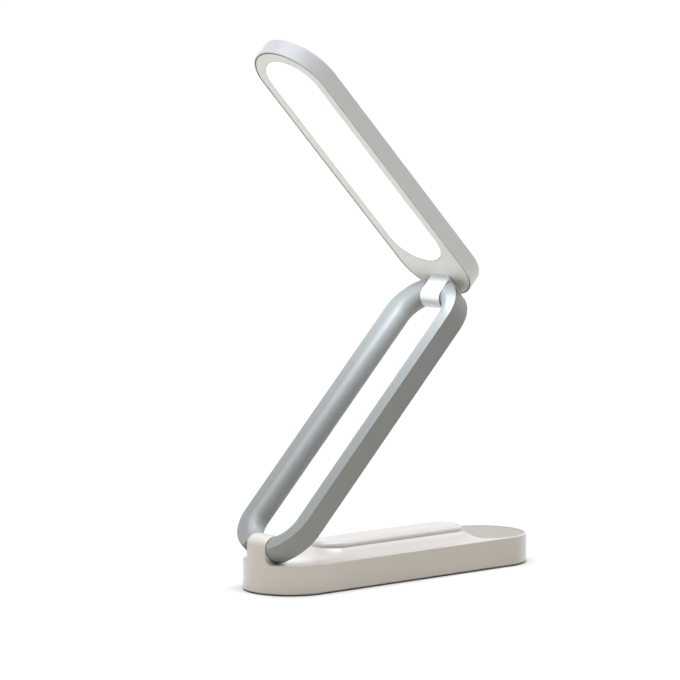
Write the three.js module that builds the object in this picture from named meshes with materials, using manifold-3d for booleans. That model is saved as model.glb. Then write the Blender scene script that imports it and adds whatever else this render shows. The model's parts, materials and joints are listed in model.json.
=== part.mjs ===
// Folding desk lamp: a flat base, an open loop arm and a slim light head that share one outline,
// joined by two hinges so that the three lie flat on each other when the lamp is folded.
// Millimetres, +Z up. The origin is the centre of the base, on the desk. The base hinge is at the
// -X end, the touch panel and the charging socket are at the +X end, and the front is -Y.

import * as THREE from "three";
import { mergeVertices } from "three/addons/utils/BufferGeometryUtils.js";
import Module from "manifold-3d";

// Outline shared by the base, the arm and the head: a rectangle with full round ends
const OUTLINE_LENGTH = 200;
const OUTLINE_WIDTH = 51.6;

// Pose in the photograph: the arm above the desk, and the head against the arm
const ARM_ANGLE = 45;
const HEAD_ANGLE = 90;

// Clearances
const GAP = 0.3;
const SNUG = 0.15;
const OVERRUN = 3;

// Hinges
const HINGE_INSET = 9.1;
const EAR_CLEARANCE = 0.5;
const FACE_CLEARANCE = 0.7;
const KNUCKLE_WIDTH = 15.4;
const KNUCKLE_ROUND = 6.5;
const PIN_RADIUS = 2.3;
const PIN_BORE_RADIUS = 1.3;
const PIN_END_GAP = 1.1;
const SLEEVE_WALL = 0.8;
const SLEEVE_SPLIT = 0.8;
const EAR_DEPTH = 6.5;
const EAR_EDGE_ROUND = 2.6;
const CABLE_RADIUS = 0.7;
const CABLE_BEND = 2.4;

// Base
const BASE_HEIGHT = 16.8;
const BASE_WALL = 2.2;
const BASE_TOP = 2.4;
const BASE_BOTTOM_ROUND = 1;
const BASE_RIM_ROUND = 0.5;
const ISLAND_EDGE_ROUND = 2;
const ISLAND_STEP = 3.4;
const ISLAND_REACH = 4;
const MOUND_MARGIN = 0.6;
const POST_ROUND = 5.9;
const POST_CREST = 1.4;
const COVER_THICKNESS = 2;
const FOOT_RADIUS = 5;
const FOOT_PROUD = 0.6;
const FOOT_SUNK = 0.7;
const FOOT_END_INSET = 24;
const FOOT_SIDE_INSET = 13.8;

// Touch panel
const TOUCH_RADIUS = 24;
const TOUCH_THICKNESS = 0.8;
const TOUCH_SUNK = 0.2;
const CONTACT_RADIUS = 4;

// Power: one 18650 cell, its charger board and a USB-C inlet
const CELL_RADIUS = 9.15;
const CELL_LENGTH = 65;
const CELL_TIP_RADIUS = 2.8;
const CELL_TIP_LENGTH = 0.8;
const CELL_EDGE = 0.6;
const CELL_CLEARANCE = 0.45;
const CRADLE_RIB = 2.5;
const CRADLE_HEIGHT = 4.4;
const CRADLE_SPACING = 44;
const BOARD_STANDOFF = 2.55;
const BOARD_THICKNESS = 1.6;
const BOARD_LENGTH = 47;
const BOARD_WIDTH = 33;
const SOCKET_WIDTH = 9;
const SOCKET_HEIGHT = 3.3;
const SOCKET_DEPTH = 7.3;
const SOCKET_WALL = 0.4;
const SOCKET_TONGUE = 0.7;
const SOCKET_SUNK = 0.5;
const BALLAST_LENGTH = 70;
const BALLAST_WIDTH = 6.5;
const BALLAST_HEIGHT = 8;

// Arm
const ARM_THICKNESS = 13;
const ARM_WALL = 1.5;
const ARM_CHANNEL = 4.5;
const ARM_CEILING = 1.8;
const ARM_EDGE_ROUND = 0.3;
const ISLAND_CLEARANCE = 1.6;
const ARM_COVER_THICKNESS = 1.1;
const ARM_COVER_LEDGE = 0.6;

// Head
const HEAD_THICKNESS = 10.4;
const HEAD_WALL = 1.3;
const HEAD_BACK = 1.6;
const HEAD_BACK_ROUND = 1.2;
const HEAD_LIP_ROUND = 0.4;
const GROOVE_WIDTH = 0.6;
const GROOVE_DEPTH = 0.7;
const BEZEL_THICKNESS = 2;
const BEZEL_SKIRT_WALL = 1.2;
const BEZEL_SKIRT_DEPTH = 2.4;
const KNUCKLE_ROOT_ROUND = 2.5;
const BEZEL_SIDE_MARGIN = 7;
const BEZEL_TIP_MARGIN = 7.5;
const BEZEL_ROOT_MARGIN = 10.4;
const DIFFUSER_FLANGE = 1.4;
const DIFFUSER_FLANGE_THICKNESS = 1;
const TRAY_WALL = 1.5;
const TRAY_SLOPE = 3;
const LED_BOARD_THICKNESS = 1;
const LED_BOARD_MARGIN = 4.4;
const LED_STANDOFF = 1.2;
const LED_ROWS = 2;
const LED_COLUMNS = 12;
const LED_LENGTH = 3.5;
const LED_WIDTH = 2.8;
const LED_HEIGHT = 0.7;
const LED_ROW_SPACING = 14;

// Screws: head radius, head height, shank radius and shank length
const SCREW_HEAD_RADIUS = 1.6;
const SCREW_HEAD_HEIGHT = 0.9;
const SCREW_SHANK_RADIUS = 0.8;
const SCREW_SHANK_LENGTH = 4.5;
const LED_SCREW_SHANK_LENGTH = 1.6;
const SCREW_BOSS_WALL = 1.1;

// Where the screws stand, as shares of the length or width of what they hold
const armScrewShare = 0.16;
const ledScrewShare = 0.44;
const boardScrewLengthShare = 0.3;
const boardScrewWidthShare = 0.32;
const coverScrewLengthShare = 0.31;

// The wire's bend from a hinge pin to the straight of the arm's bar, as shares of the way along
// the arm, across it and up in it
const armBendShares = [
  [0, 0, 0],
  [0, 0.2, 0],
  [0.02, 0.3, 0.04],
  [0.2, 0.52, 0.3],
  [0.52, 0.74, 0.75],
  [1, 1, 1],
];

// Steps in a quarter turn of the round ends and of small edges, and sides of rods, screws and wires
const END_STEPS = 6;
const EDGE_STEPS = 2;
const ROD_SIDES = 16;
const SCREW_SIDES = 10;
const CABLE_SIDES = 8;
const CABLE_STEPS = 3;

// Heights and places that follow from the sizes above
const END_RADIUS = OUTLINE_WIDTH / 2;
const END_CENTRE = OUTLINE_LENGTH / 2 - END_RADIUS;
const HALF_ARM = ARM_THICKNESS / 2;
const HINGE_X = HINGE_INSET - OUTLINE_LENGTH / 2;
const HINGE_HEIGHT = BASE_HEIGHT + EAR_CLEARANCE + HINGE_INSET;
const HINGE_SPAN = OUTLINE_LENGTH - HINGE_INSET * 2;
const HALF_KNUCKLE = KNUCKLE_WIDTH / 2;
const HALF_NOTCH = HALF_KNUCKLE + GAP;
const HALF_PIN = HALF_NOTCH + EAR_DEPTH - PIN_END_GAP;
const POST_SHOULDER = HINGE_INSET - POST_CREST;
const POST_FOOT_ROUND = EAR_EDGE_ROUND + GAP + EAR_CLEARANCE;
const HOLE_RADIUS = PIN_RADIUS + GAP;
const SLEEVE_RADIUS = PIN_RADIUS + GAP + SLEEVE_WALL;
const SLEEVE_HOLE_RADIUS = SLEEVE_RADIUS + GAP;
const SCREW_HOLE_RADIUS = SCREW_SHANK_RADIUS + GAP;
const SCREW_BOSS_RADIUS = SCREW_HOLE_RADIUS + SCREW_BOSS_WALL;
const COVER_TOP = FOOT_PROUD + COVER_THICKNESS;
const BASE_CEILING = BASE_HEIGHT - BASE_TOP;
const CELL_HEIGHT = COVER_TOP + CELL_CLEARANCE * 2 + CELL_RADIUS;
const ISLAND_TOP = CELL_HEIGHT + CELL_RADIUS + CELL_CLEARANCE + BASE_TOP;
const ISLAND_RADIUS = CELL_RADIUS + CELL_CLEARANCE + BASE_TOP;
const ISLAND_END = END_CENTRE - TOUCH_RADIUS + ISLAND_REACH;
const MOUND_TOP = ISLAND_TOP - ISLAND_STEP;
const MOUND_SPREAD = END_RADIUS - MOUND_MARGIN - ISLAND_RADIUS;
const WINDOW_RADIUS = END_RADIUS - BEZEL_SIDE_MARGIN;

// Materials, one for each finish
const finish = (color, roughness, metalness = 0) =>
  new THREE.MeshStandardMaterial({ color, roughness, metalness });
const baseShell = finish(0xe9e4dd, 0.35);
const touchPanel = finish(0xcfc6c3, 0.45);
const armShell = finish(0xa9acad, 0.4, 0.2);
const headShell = finish(0xdcdcdc, 0.4);
const opal = finish(0xffffff, 0.5);
const white = finish(0xf4f4f2, 0.6);
const rubber = finish(0x2c2c2c, 0.9);
const steel = finish(0xb4b7ba, 0.35, 0.9);
const brass = finish(0xb89a5a, 0.4, 0.9);
const green = finish(0x1f5c3a, 0.55);
const cellWrap = finish(0x3f78a8, 0.45);
const blackWire = finish(0x1d1d1f, 0.6);
const foam = finish(0x4a4a4c, 0.9);

// The boolean library
const wasm = await Module();
wasm.setup();

function solidOf(geometry) {
  const bare = geometry.clone();
  bare.deleteAttribute("normal");
  bare.deleteAttribute("uv");
  const merged = mergeVertices(bare);
  const vertProperties = merged.attributes.position.array;
  const triVerts = new Uint32Array(merged.index.array);
  return new wasm.Manifold(new wasm.Mesh({ numProp: 3, vertProperties, triVerts }));
}

const join = (first, ...others) => others.reduce((sum, next) => sum.add(next), first);
const cut = (first, ...others) => others.reduce((rest, next) => rest.subtract(next), first);
const common = (first, second) => first.intersect(second);

function meshOf(name, solid, material) {
  const made = solid.getMesh();
  const geometry = new THREE.BufferGeometry();
  geometry.setAttribute("position", new THREE.BufferAttribute(made.vertProperties, 3));
  geometry.setIndex(new THREE.BufferAttribute(made.triVerts, 1));
  geometry.computeVertexNormals();
  const mesh = new THREE.Mesh(geometry, material);
  mesh.name = name;
  return mesh;
}

// Simple solids

function boxSolid(low, high) {
  const size = new THREE.Vector3().subVectors(high, low);
  const centre = new THREE.Vector3().addVectors(low, high).multiplyScalar(1 / 2);
  const geometry = new THREE.BoxGeometry(size.x, size.y, size.z);
  return solidOf(geometry.translate(centre.x, centre.y, centre.z));
}

const span = (x0, x1, y0, y1, z0, z1) =>
  boxSolid(new THREE.Vector3(x0, y0, z0), new THREE.Vector3(x1, y1, z1));

// An upright rod from one height to another
function uprightRod(radius, x, y, low, high, sides = ROD_SIDES) {
  const geometry = new THREE.CylinderGeometry(radius, radius, high - low, sides);
  geometry.rotateX(Math.PI / 2);
  return solidOf(geometry.translate(x, y, (low + high) / 2));
}

// A rod along Y between two places
function crossRod(radius, x, z, near, far, sides = ROD_SIDES) {
  const geometry = new THREE.CylinderGeometry(radius, radius, far - near, sides);
  return solidOf(geometry.translate(x, (near + far) / 2, z));
}

// A shape drawn in X and Z, as thick as the width given, centred on Y
function sideSlab(shape, width) {
  const geometry = new THREE.ExtrudeGeometry(shape, {
    depth: width,
    bevelEnabled: false,
    curveSegments: END_STEPS * 2,
  });
  geometry.rotateX(Math.PI / 2);
  return solidOf(geometry.translate(0, width / 2, 0));
}

// A shape drawn in Y and Z, from one place along X to another
function endSlab(shape, start, end) {
  const geometry = new THREE.ExtrudeGeometry(shape, {
    depth: end - start,
    bevelEnabled: false,
    curveSegments: END_STEPS,
  });
  geometry.rotateZ(Math.PI / 2);
  geometry.rotateY(Math.PI / 2);
  return solidOf(geometry.translate(start, 0, 0));
}

// A round of a profile, as points [radius, height], between two angles in degrees
function rounding(radius, height, round, from, to, steps = EDGE_STEPS) {
  return Array.from({ length: steps + 1 }, (_, i) => {
    const angle = THREE.MathUtils.degToRad(from + ((to - from) * i) / steps);
    return [radius + round * Math.cos(angle), height + round * Math.sin(angle)];
  });
}

// A form with the lamp's round-ended outline. Each profile point [radius, height] is one outline
// around the two end centres, from the bottom up. An open profile is capped at both ends, and a
// closed one, drawn outside up and inside down, makes a ring.
function roundEnded(profile, start, end, closed = false) {
  const steps = END_STEPS * 2;
  const around = [];
  for (const [centre, from] of [[end, -Math.PI / 2], [start, Math.PI / 2]]) {
    for (let i = 0; i <= steps; i += 1) {
      around.push([centre, from + (Math.PI * i) / steps]);
    }
  }
  const count = around.length;
  const points = profile.flatMap(([radius, height]) =>
    around.flatMap(([centre, angle]) => [
      centre + radius * Math.cos(angle),
      radius * Math.sin(angle),
      height,
    ]),
  );
  const faces = [];
  const bands = closed ? profile.length : profile.length - 1;
  for (let band = 0; band < bands; band += 1) {
    const low = band * count;
    const high = ((band + 1) % profile.length) * count;
    for (let i = 0; i < count; i += 1) {
      const j = (i + 1) % count;
      faces.push(low + i, low + j, high + j, low + i, high + j, high + i);
    }
  }
  if (!closed) {
    const middle = (start + end) / 2;
    const bottom = points.length / 3;
    points.push(middle, 0, profile[0][1], middle, 0, profile[profile.length - 1][1]);
    const last = (profile.length - 1) * count;
    for (let i = 0; i < count; i += 1) {
      const j = (i + 1) % count;
      faces.push(bottom, j, i, bottom + 1, last + i, last + j);
    }
  }
  const geometry = new THREE.BufferGeometry();
  geometry.setAttribute("position", new THREE.Float32BufferAttribute(points, 3));
  geometry.setIndex(faces);
  return solidOf(geometry);
}

// A prism with the lamp's round-ended outline, drawn in from the edge by an inset
const outlinePrism = (start, end, inset, low, high) =>
  roundEnded([[END_RADIUS - inset, low], [END_RADIUS - inset, high]], start, end);

// A wire of round section along a route, with the same number of steps from each point to the next
function wire(points) {
  const route = new THREE.CatmullRomCurve3(points, false, "centripetal");
  route.getPointAt = route.getPoint;
  route.getTangentAt = route.getTangent;
  const section = new THREE.Shape();
  section.absarc(0, 0, CABLE_RADIUS, 0, Math.PI * 2);
  return solidOf(
    new THREE.ExtrudeGeometry(section, {
      steps: CABLE_STEPS * (points.length - 1),
      curveSegments: CABLE_SIDES / 2,
      extrudePath: route,
    }),
  );
}

// A pan-head screw that stands upright, head down, with the underside of its head at seat
function screw(x, y, seat, length) {
  return join(
    uprightRod(SCREW_HEAD_RADIUS, x, y, seat - SCREW_HEAD_HEIGHT, seat, SCREW_SIDES),
    uprightRod(SCREW_SHANK_RADIUS, x, y, seat - SNUG, seat + length, SCREW_SIDES),
  );
}

const screwHole = (x, y, low, high) => uprightRod(SCREW_HOLE_RADIUS, x, y, low, high, SCREW_SIDES);
const screwWell = (x, y, low, high) =>
  uprightRod(SCREW_HEAD_RADIUS + GAP, x, y, low, high, SCREW_SIDES);

// Places of a set of four, named 1 to 4 from the front left, anticlockwise from above
const corners = (x, y, middle = 0) => [
  [middle - x, -y],
  [middle + x, -y],
  [middle + x, y],
  [middle - x, y],
];

// Hinge parts, drawn on the hinge axis at the origin

function hingePin() {
  const rod = crossRod(PIN_RADIUS, 0, 0, -HALF_PIN, HALF_PIN);
  const bore = crossRod(PIN_BORE_RADIUS, 0, 0, -HALF_PIN - OVERRUN, HALF_PIN + OVERRUN);
  return cut(rod, bore);
}

// The window through which the wire enters the pin, on the side of the piece that holds the pin
const pinWindow = () =>
  uprightRod(PIN_BORE_RADIUS, 0, 0, -PIN_RADIUS - OVERRUN, 0);

// The wire along the back half of a pin, from the window to the pin's end
const wireInPin = (x, z) => crossRod(CABLE_RADIUS, x, z, 0, HALF_PIN, CABLE_SIDES);

// A split friction sleeve in one ear: side is 1 for the back ear and -1 for the front one
function hingeSleeve(side) {
  const near = HALF_NOTCH + GAP;
  const far = HALF_NOTCH + EAR_DEPTH - GAP;
  const [low, high] = side > 0 ? [near, far] : [-far, -near];
  const half = SLEEVE_SPLIT / 2;
  return cut(
    crossRod(SLEEVE_RADIUS, 0, 0, low, high),
    crossRod(HOLE_RADIUS, 0, 0, low - OVERRUN, high + OVERRUN),
    span(0, SLEEVE_RADIUS + OVERRUN, low - OVERRUN, high + OVERRUN, -half, half),
  );
}

// Base

const postShape = () => {
  const left = -OUTLINE_LENGTH / 2;
  const crown = HINGE_HEIGHT + POST_ROUND;
  const back = HINGE_X + POST_ROUND;
  const foot = BASE_HEIGHT + POST_FOOT_ROUND;
  const shape = new THREE.Shape();
  shape.moveTo(left, BASE_CEILING);
  shape.lineTo(left, crown);
  shape.lineTo(HINGE_X, crown);
  shape.absarc(HINGE_X, HINGE_HEIGHT, POST_ROUND, Math.PI / 2, 0, true);
  shape.lineTo(back, foot);
  shape.absarc(back + POST_FOOT_ROUND, foot, POST_FOOT_ROUND, Math.PI, Math.PI * 1.5, false);
  shape.lineTo(back + POST_FOOT_ROUND, BASE_CEILING);
  shape.closePath();
  return shape;
};

// The lamp's round-ended outline up to the hinge axis, rounded over above it as the post's crown is
function crownForm() {
  const steps = END_STEPS;
  const round = Array.from({ length: steps + 1 }, (_, i) => {
    const angle = (Math.PI / 2) * (i / steps);
    const inset = POST_SHOULDER * (1 - Math.cos(angle));
    return [END_RADIUS - inset, HINGE_HEIGHT + POST_ROUND * Math.sin(angle)];
  });
  return roundEnded([[END_RADIUS, 0], ...round], -END_CENTRE, END_CENTRE);
}

// The concave rounds where the two sides of the post meet the top of the base
function postFoot() {
  const round = POST_FOOT_ROUND;
  const out = HALF_KNUCKLE + round;
  const height = BASE_HEIGHT + round;
  const shape = new THREE.Shape();
  shape.moveTo(-out, BASE_HEIGHT);
  shape.absarc(-out, height, round, -Math.PI / 2, 0, false);
  shape.lineTo(HALF_KNUCKLE, height);
  shape.absarc(out, height, round, Math.PI, Math.PI * 1.5, false);
  shape.lineTo(out, BASE_CEILING);
  shape.lineTo(-out, BASE_CEILING);
  shape.closePath();
  return endSlab(shape, -OUTLINE_LENGTH / 2, HINGE_X + POST_ROUND);
}

// The hollowed rise around the island, and the island itself. Drawn in by the wall for the inside.
function mound(inset, drop) {
  const island = ISLAND_RADIUS - inset;
  const steps = EDGE_STEPS * 2;
  const rise = MOUND_TOP - BASE_HEIGHT;
  const slope = Array.from({ length: steps + 1 }, (_, i) => {
    const away = 1 - i / steps;
    return [island + MOUND_SPREAD * away, BASE_HEIGHT - drop + rise * (1 - away) ** 2];
  });
  const top = ISLAND_TOP - drop;
  const round = ISLAND_EDGE_ROUND;
  const profile = [
    [island + MOUND_SPREAD, BASE_CEILING - drop],
    ...slope,
    ...rounding(island - round, top - round, round, 0, 90),
  ];
  const end = ISLAND_END - ISLAND_RADIUS;
  return roundEnded(profile, -end, end);
}

// The round touch panel or its room, with the end of the island left out of it. Drawn in from the
// housing by an inset.
function touchForm(inset, low, high) {
  const end = ISLAND_END - ISLAND_RADIUS;
  const edge = ISLAND_RADIUS + inset;
  return cut(
    uprightRod(TOUCH_RADIUS - inset, END_CENTRE, 0, low, high, END_STEPS * 6),
    roundEnded([[edge, low - OVERRUN], [edge, high + OVERRUN]], -end, end),
  );
}

// Where the four screws of the bottom cover, the board's screws and the feet stand
const coverScrewY = END_RADIUS - BASE_WALL - SCREW_BOSS_RADIUS + SNUG;
const coverScrews = corners(OUTLINE_LENGTH * coverScrewLengthShare, coverScrewY);
const feet = corners(OUTLINE_LENGTH / 2 - FOOT_END_INSET, END_RADIUS - FOOT_SIDE_INSET);
const boardEnd = OUTLINE_LENGTH / 2 - BASE_WALL - SOCKET_DEPTH / 3;
const boardMiddle = boardEnd - BOARD_LENGTH / 2;
const boardScrews = corners(
  BOARD_LENGTH * boardScrewLengthShare,
  BOARD_WIDTH * boardScrewWidthShare,
  boardMiddle,
);
const boardBottom = COVER_TOP + BOARD_STANDOFF;
const boardTop = boardBottom + BOARD_THICKNESS;
const socketMiddle = boardTop + GAP + SOCKET_HEIGHT / 2;
const touchFloor = BASE_HEIGHT - TOUCH_SUNK - TOUCH_THICKNESS - GAP;
const mouth = OUTLINE_LENGTH / 2 - SOCKET_SUNK;

// A round-ended bar along X, such as the socket's shell: width along Y, height along Z
function flatTube(start, end, width, height) {
  const reach = (width - height) / 2;
  const shape = new THREE.Shape();
  shape.absarc(reach, socketMiddle, height / 2, -Math.PI / 2, Math.PI / 2, false);
  shape.absarc(-reach, socketMiddle, height / 2, Math.PI / 2, Math.PI * 1.5, false);
  return endSlab(shape, start, end);
}

// A screw boss that stands down from the top of the housing
const boss = (x, y, low) =>
  uprightRod(SCREW_BOSS_RADIUS, x, y, low, ISLAND_TOP - BASE_TOP / 2);

function makeHousing() {
  const inside = END_RADIUS - BASE_WALL;
  const low = BASE_BOTTOM_ROUND;
  const high = BASE_RIM_ROUND;
  const wall = [
    ...rounding(END_RADIUS - low, FOOT_PROUD + low, low, -90, 0),
    ...rounding(END_RADIUS - high, BASE_HEIGHT - high, high, 0, 90),
  ];
  const form = join(roundEnded(wall, -END_CENTRE, END_CENTRE), mound(0, 0));
  const post = common(join(sideSlab(postShape(), KNUCKLE_WIDTH), postFoot()), crownForm());
  const underPanel = uprightRod(TOUCH_RADIUS + BASE_TOP, END_CENTRE, 0, BASE_CEILING, ISLAND_TOP);
  const hollow = join(
    roundEnded([[inside, -OVERRUN], [inside, BASE_CEILING]], -END_CENTRE, END_CENTRE),
    cut(mound(BASE_TOP, BASE_TOP), underPanel),
  );
  const bosses = [
    ...coverScrews.map(([x, y]) => boss(x, y, COVER_TOP + GAP)),
    ...boardScrews.map(([x, y]) => boss(x, y, boardTop + GAP)),
  ];
  let housing = cut(
    join(cut(form, hollow), post, common(join(...bosses), form)),
    touchForm(0, touchFloor, ISLAND_TOP + OVERRUN),
    uprightRod(CONTACT_RADIUS + GAP, END_CENTRE, 0, BASE_CEILING - OVERRUN, ISLAND_TOP),
  );
  const pinHole = crossRod(HOLE_RADIUS, HINGE_X, HINGE_HEIGHT, -END_RADIUS, END_RADIUS);
  const wireShaft = uprightRod(PIN_BORE_RADIUS + GAP, HINGE_X, 0, BASE_CEILING - OVERRUN, HINGE_HEIGHT);
  const inlet = flatTube(
    mouth - SOCKET_DEPTH,
    mouth + OVERRUN,
    SOCKET_WIDTH + GAP * 2,
    SOCKET_HEIGHT + GAP * 2,
  );
  housing = cut(housing, pinHole, wireShaft, inlet);
  for (const [x, y] of coverScrews) {
    housing = cut(housing, screwHole(x, y, 0, COVER_TOP + GAP + SCREW_SHANK_LENGTH));
  }
  for (const [x, y] of boardScrews) {
    housing = cut(housing, screwHole(x, y, boardTop, boardTop + SCREW_SHANK_LENGTH));
  }
  return housing;
}

function makeBaseCover() {
  const edge = END_RADIUS - BASE_WALL - GAP;
  let cover = roundEnded([[edge, FOOT_PROUD], [edge, COVER_TOP]], -END_CENTRE, END_CENTRE);
  for (const x of [-CRADLE_SPACING / 2, CRADLE_SPACING / 2]) {
    const half = CRADLE_RIB / 2;
    const top = COVER_TOP + CRADLE_HEIGHT;
    const rib = span(x - half, x + half, -CELL_RADIUS, CELL_RADIUS, COVER_TOP - half, top);
    const room = CELL_RADIUS + GAP;
    const cellRoom = new THREE.CylinderGeometry(room, room, CELL_LENGTH, ROD_SIDES * 2);
    cellRoom.rotateZ(Math.PI / 2);
    cover = join(cover, cut(rib, solidOf(cellRoom.translate(0, 0, CELL_HEIGHT))));
  }
  for (const [x, y] of feet) {
    cover = cut(cover, uprightRod(FOOT_RADIUS + GAP, x, y, 0, FOOT_PROUD + FOOT_SUNK + GAP));
  }
  for (const [x, y] of coverScrews) {
    cover = cut(
      cover,
      screwHole(x, y, 0, COVER_TOP + OVERRUN),
      screwWell(x, y, 0, COVER_TOP - SCREW_HEAD_HEIGHT + SNUG),
    );
  }
  return cover;
}

// The cell, turned about its own axis and laid along X
function makeCell() {
  const half = CELL_LENGTH / 2;
  const profile = [
    [0, -half],
    [CELL_RADIUS - CELL_EDGE, -half],
    [CELL_RADIUS, -half + CELL_EDGE],
    [CELL_RADIUS, half - CELL_TIP_LENGTH - CELL_EDGE],
    [CELL_RADIUS - CELL_EDGE, half - CELL_TIP_LENGTH],
    [CELL_TIP_RADIUS, half - CELL_TIP_LENGTH],
    [CELL_TIP_RADIUS, half],
    [0, half],
  ].map(([radius, along]) => new THREE.Vector2(radius, along));
  const geometry = new THREE.LatheGeometry(profile, ROD_SIDES * 2);
  geometry.rotateZ(-Math.PI / 2);
  return solidOf(geometry.translate(0, 0, CELL_HEIGHT));
}

function makeBoard() {
  const radius = BOARD_WIDTH / 2;
  const reach = BOARD_LENGTH / 2 - radius;
  let board = roundEnded(
    [
      [radius, boardBottom],
      [radius, boardTop],
    ],
    boardMiddle - reach,
    boardMiddle + reach,
  );
  for (const [x, y] of boardScrews) {
    board = cut(board, screwHole(x, y, boardBottom - OVERRUN, boardTop + OVERRUN));
  }
  return board;
}

function makeSocket() {
  const start = mouth - SOCKET_DEPTH;
  const wall = SOCKET_WALL * 2;
  const shell = cut(
    flatTube(start, mouth, SOCKET_WIDTH, SOCKET_HEIGHT),
    flatTube(start + SOCKET_WALL, mouth + OVERRUN, SOCKET_WIDTH - wall, SOCKET_HEIGHT - wall),
  );
  const half = SOCKET_TONGUE / 2;
  const reach = (SOCKET_WIDTH - SOCKET_HEIGHT) / 2;
  const tongue = span(
    start + SOCKET_WALL / 2,
    mouth - SOCKET_TONGUE,
    -reach,
    reach,
    socketMiddle - half,
    socketMiddle + half,
  );
  return join(shell, tongue);
}

function makeBallast(side) {
  const far = END_RADIUS - BASE_WALL - GAP * 2;
  const near = far - BALLAST_WIDTH;
  const [low, high] = side > 0 ? [near, far] : [-far, -near];
  const bottom = COVER_TOP + GAP;
  return span(-BALLAST_LENGTH / 2, BALLAST_LENGTH / 2, low, high, bottom, bottom + BALLAST_HEIGHT);
}

// From the board, past the cell, up the post, and along the hollow pin to its back end
function baseWire() {
  const beside = (CELL_RADIUS + END_RADIUS - BASE_WALL - GAP * 2 - BALLAST_WIDTH) / 2;
  const level = COVER_TOP + BALLAST_HEIGHT;
  const start = boardMiddle - BOARD_LENGTH / 2;
  const half = CELL_LENGTH / 2;
  const bend = CABLE_BEND;
  const at = (x, y, z) => new THREE.Vector3(x, y, z);
  const route = [
    at(start - GAP - CABLE_RADIUS, beside / 2, boardTop),
    at((start + half) / 2, beside, (boardTop + level) / 2),
    at(half, beside, level),
    at(0, beside, level),
    at(-half, beside, level),
    at((HINGE_X - half) / 2, beside / 2, level),
    at(HINGE_X + bend * 2, 0, level),
    at(HINGE_X, 0, level + bend * 2),
    at(HINGE_X, 0, (HINGE_HEIGHT + level) / 2 + bend),
    at(HINGE_X, 0, HINGE_HEIGHT),
  ];
  return join(wire(route), wireInPin(HINGE_X, HINGE_HEIGHT));
}

const base = new THREE.Group();
base.add(meshOf("base_housing", makeHousing(), baseShell));
base.add(meshOf("base_cover", makeBaseCover(), baseShell));
feet.forEach(([x, y], i) => {
  base.add(meshOf(`foot_${i + 1}`, uprightRod(FOOT_RADIUS, x, y, 0, FOOT_PROUD + FOOT_SUNK), rubber));
});
coverScrews.forEach(([x, y], i) => {
  const part = screw(x, y, COVER_TOP - SCREW_HEAD_HEIGHT, SCREW_SHANK_LENGTH);
  base.add(meshOf(`cover_screw_${i + 1}`, part, steel));
});
const pad = touchForm(SNUG, touchFloor + GAP, BASE_HEIGHT - TOUCH_SUNK);
base.add(meshOf("touch_pad", pad, touchPanel));
const contact = uprightRod(CONTACT_RADIUS, END_CENTRE, 0, boardTop + GAP, touchFloor);
base.add(meshOf("touch_contact", contact, foam));
base.add(meshOf("control_board", makeBoard(), green));
boardScrews.forEach(([x, y], i) => {
  base.add(meshOf(`board_screw_${i + 1}`, screw(x, y, boardBottom - GAP, SCREW_SHANK_LENGTH), steel));
});
base.add(meshOf("usb_socket", makeSocket(), steel));
base.add(meshOf("battery_cell", makeCell(), cellWrap));
base.add(meshOf("ballast_bar_front", makeBallast(-1), steel));
base.add(meshOf("ballast_bar_back", makeBallast(1), steel));
base.add(meshOf("base_cable", baseWire(), blackWire));
const basePin = meshOf("base_hinge_pin", cut(hingePin(), pinWindow()), steel);
basePin.position.set(HINGE_X, 0, HINGE_HEIGHT);
base.add(basePin);

// Arm, drawn with its base hinge at the origin, its length along X and its crest facing +Z

const ringStart = END_RADIUS - HINGE_INSET;
const ringEnd = HINGE_SPAN - ringStart;
const innerRadius = ISLAND_RADIUS + ISLAND_CLEARANCE;
const laneMiddle = END_RADIUS - ARM_WALL - ARM_CHANNEL / 2;
const coverFloor = ARM_COVER_THICKNESS - HALF_ARM;
const wellFloor = SCREW_HEAD_HEIGHT + SNUG * 2 - HALF_ARM;
const cupFloor = wellFloor + ARM_COVER_THICKNESS;
const armScrews = corners(HINGE_SPAN / 2 - HINGE_SPAN * armScrewShare, laneMiddle, HINGE_SPAN / 2);

// A ring along the outer edge of the arm, as wide as the channel and a wall on each side of it,
// drawn in by an inset
function armRing(inset, low, high) {
  const outer = END_RADIUS - inset;
  const inner = END_RADIUS - ARM_CHANNEL - ARM_WALL * 2 + inset;
  const section = [[outer, low], [outer, high], [inner, high], [inner, low]];
  return roundEnded(section, ringStart, ringEnd, true);
}

// The two hinges of the arm; outward is the way along X from the arm to its end there
const hingeEnds = [
  { x: 0, outward: -1 },
  { x: HINGE_SPAN, outward: 1 },
];

// The body of revolution that rounds the ears of one end about the hinge axis
function earEnvelope(x) {
  const wide = END_RADIUS + OVERRUN;
  const shoulder = HALF_NOTCH + EAR_EDGE_ROUND;
  const neck = HINGE_INSET - EAR_EDGE_ROUND;
  const half = rounding(neck, shoulder, EAR_EDGE_ROUND, -90, 0);
  const profile = [
    [0, -wide],
    [HINGE_INSET, -wide],
    ...half.map(([radius, along]) => [radius, -along]).reverse(),
    ...half,
    [HINGE_INSET, wide],
    [0, wide],
  ].map(([radius, along]) => new THREE.Vector2(radius, along));
  const geometry = new THREE.LatheGeometry(profile, ROD_SIDES * 2);
  return solidOf(geometry.translate(x, 0, 0));
}

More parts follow.
